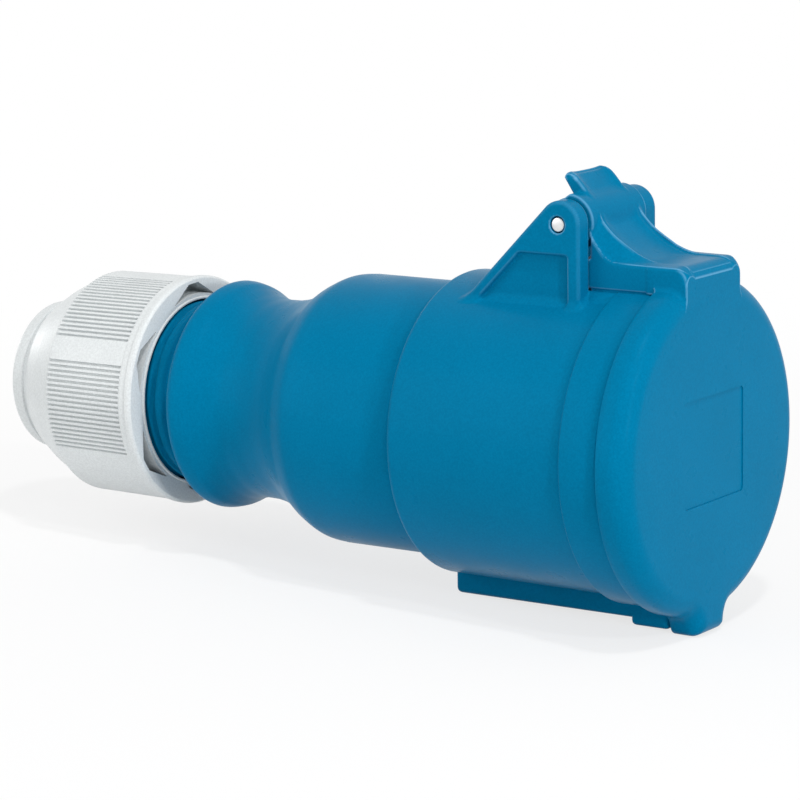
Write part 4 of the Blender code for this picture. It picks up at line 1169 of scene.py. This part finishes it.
mat, tree, shader = nodes_of("floor_white")
shader.inputs["Base Color"].default_value = (0.86, 0.86, 0.86, 1)
shader.inputs["Roughness"].default_value = 0.9
glow = tree.nodes.new("ShaderNodeEmission")
glow.inputs["Color"].default_value = (1, 1, 1, 1)
blend = tree.nodes.new("ShaderNodeMixShader")
coord = tree.nodes.new("ShaderNodeTexCoord")
away = tree.nodes.new("ShaderNodeVectorMath")
away.operation = "LENGTH"
tree.links.new(coord.outputs["Object"], away.inputs[0])
fade = spread(tree, away.outputs["Value"], SHADOW_SHARE, 1.0, SHADOW_NEAR, SHADOW_FAR)
fade.interpolation_type = "SMOOTHSTEP"
share = tree.nodes.new("ShaderNodeMath")
share.operation = "MULTIPLY"
tree.links.new(white_rays(tree), share.inputs[0])
tree.links.new(fade.outputs["Result"], share.inputs[1])
tree.links.new(share.outputs["Value"], blend.inputs["Fac"])
tree.links.new(shader.outputs["BSDF"], blend.inputs[1])
tree.links.new(glow.outputs["Emission"], blend.inputs[2])
tree.links.new(blend.outputs["Shader"], tree.nodes["Material Output"].inputs["Surface"])
mesh.materials.append(mat)
print("floor slopes by", round(math.degrees(FLOOR_SLOPE), 1), "degrees")

# %% White world
SKY_STRENGTH = 0.56
world = bpy.data.worlds.new("studio")
bpy.context.scene.world = world
world.use_nodes = True
tree = world.node_tree
sky = tree.nodes["Background"]
sky.inputs["Color"].default_value = (1, 1, 1, 1)
sky.inputs["Strength"].default_value = SKY_STRENGTH
seen = tree.nodes.new("ShaderNodeBackground")
seen.inputs["Color"].default_value = (1, 1, 1, 1)
seen.inputs["Strength"].default_value = 1.0
blend = tree.nodes.new("ShaderNodeMixShader")
tree.links.new(white_rays(tree), blend.inputs["Fac"])
tree.links.new(sky.outputs["Background"], blend.inputs[1])
tree.links.new(seen.outputs["Background"], blend.inputs[2])
tree.links.new(blend.outputs["Shader"], tree.nodes["World Output"].inputs["Surface"])
print("sky lights the object at", SKY_STRENGTH)

# %% [markdown]
# ## Lamps
#
# The photograph has soft light from both sides and small bright streaks on
# the rims. One big softbox alone would wash over the nylon without a glint.
# A large lamp on the left fills the shadows, and four small ones, each about
# a hand wide, draw the streaks along the edges.

# %% Lamps


def softbox(name, place, target, size, power):
    light = bpy.data.lights.new(name, "AREA")
    light.shape = "RECTANGLE"
    light.size, light.size_y = size
    light.energy = power
    obj = bpy.data.objects.new(name, light)
    obj.location = place
    obj.rotation_euler = (Vector(target) - Vector(place)).to_track_quat("-Z", "Y").to_euler()
    bpy.context.scene.collection.objects.link(obj)
    return obj


softbox("key_right", (1.0, -0.40, 0.22), (-0.02, 0, 0), (0.12, 0.12), 3.2)
softbox("edge_lamp", (0.80, -0.35, 0.62), (-0.02, 0, 0), (0.08, 0.08), 2.4)
softbox("top_lamp", (0.30, -0.25, 0.92), (-0.03, 0, 0), (0.08, 0.08), 3.4)
softbox("key_left", (-0.80, -0.9, 0.30), (-0.08, 0, 0), (0.7, 0.9), 3.8)
softbox("back_left", (-0.97, 0.24, 0.12), (-0.10, 0, 0), (0.12, 0.12), 0.8)
print("lamps:", len(bpy.data.lights))

# %% [markdown]
# ## Camera
#
# A long lens, 11 degrees above the axis, at the photograph's viewing angle.
# Its place and its three directions were solved from the round edges that
# the photograph shows as ellipses. Setting it by eye would leave the collar's
# arcs a few pixels off, and an Euler angle would hide what was measured, so
# the directions are written as the rows of a rotation matrix.

# %% Camera
RIGHT = Vector((0.8243, 0.5660, -0.0163))
UP = Vector((-0.0916, 0.1617, 0.9826))
BACK = Vector((0.5588, -0.8085, 0.1851))
camera = bpy.data.cameras.new("camera")
camera.sensor_width = 36
camera.lens = 162
view = bpy.data.objects.new("camera", camera)
bpy.context.scene.collection.objects.link(view)
turn = Matrix((RIGHT, UP, BACK)).transposed().to_4x4()
view.matrix_world = Matrix.Translation((0.3195, -0.5519, 0.1287)) @ turn
bpy.context.scene.camera = view
bpy.context.scene.view_settings.view_transform = "Standard"
print("camera lens:", camera.lens)
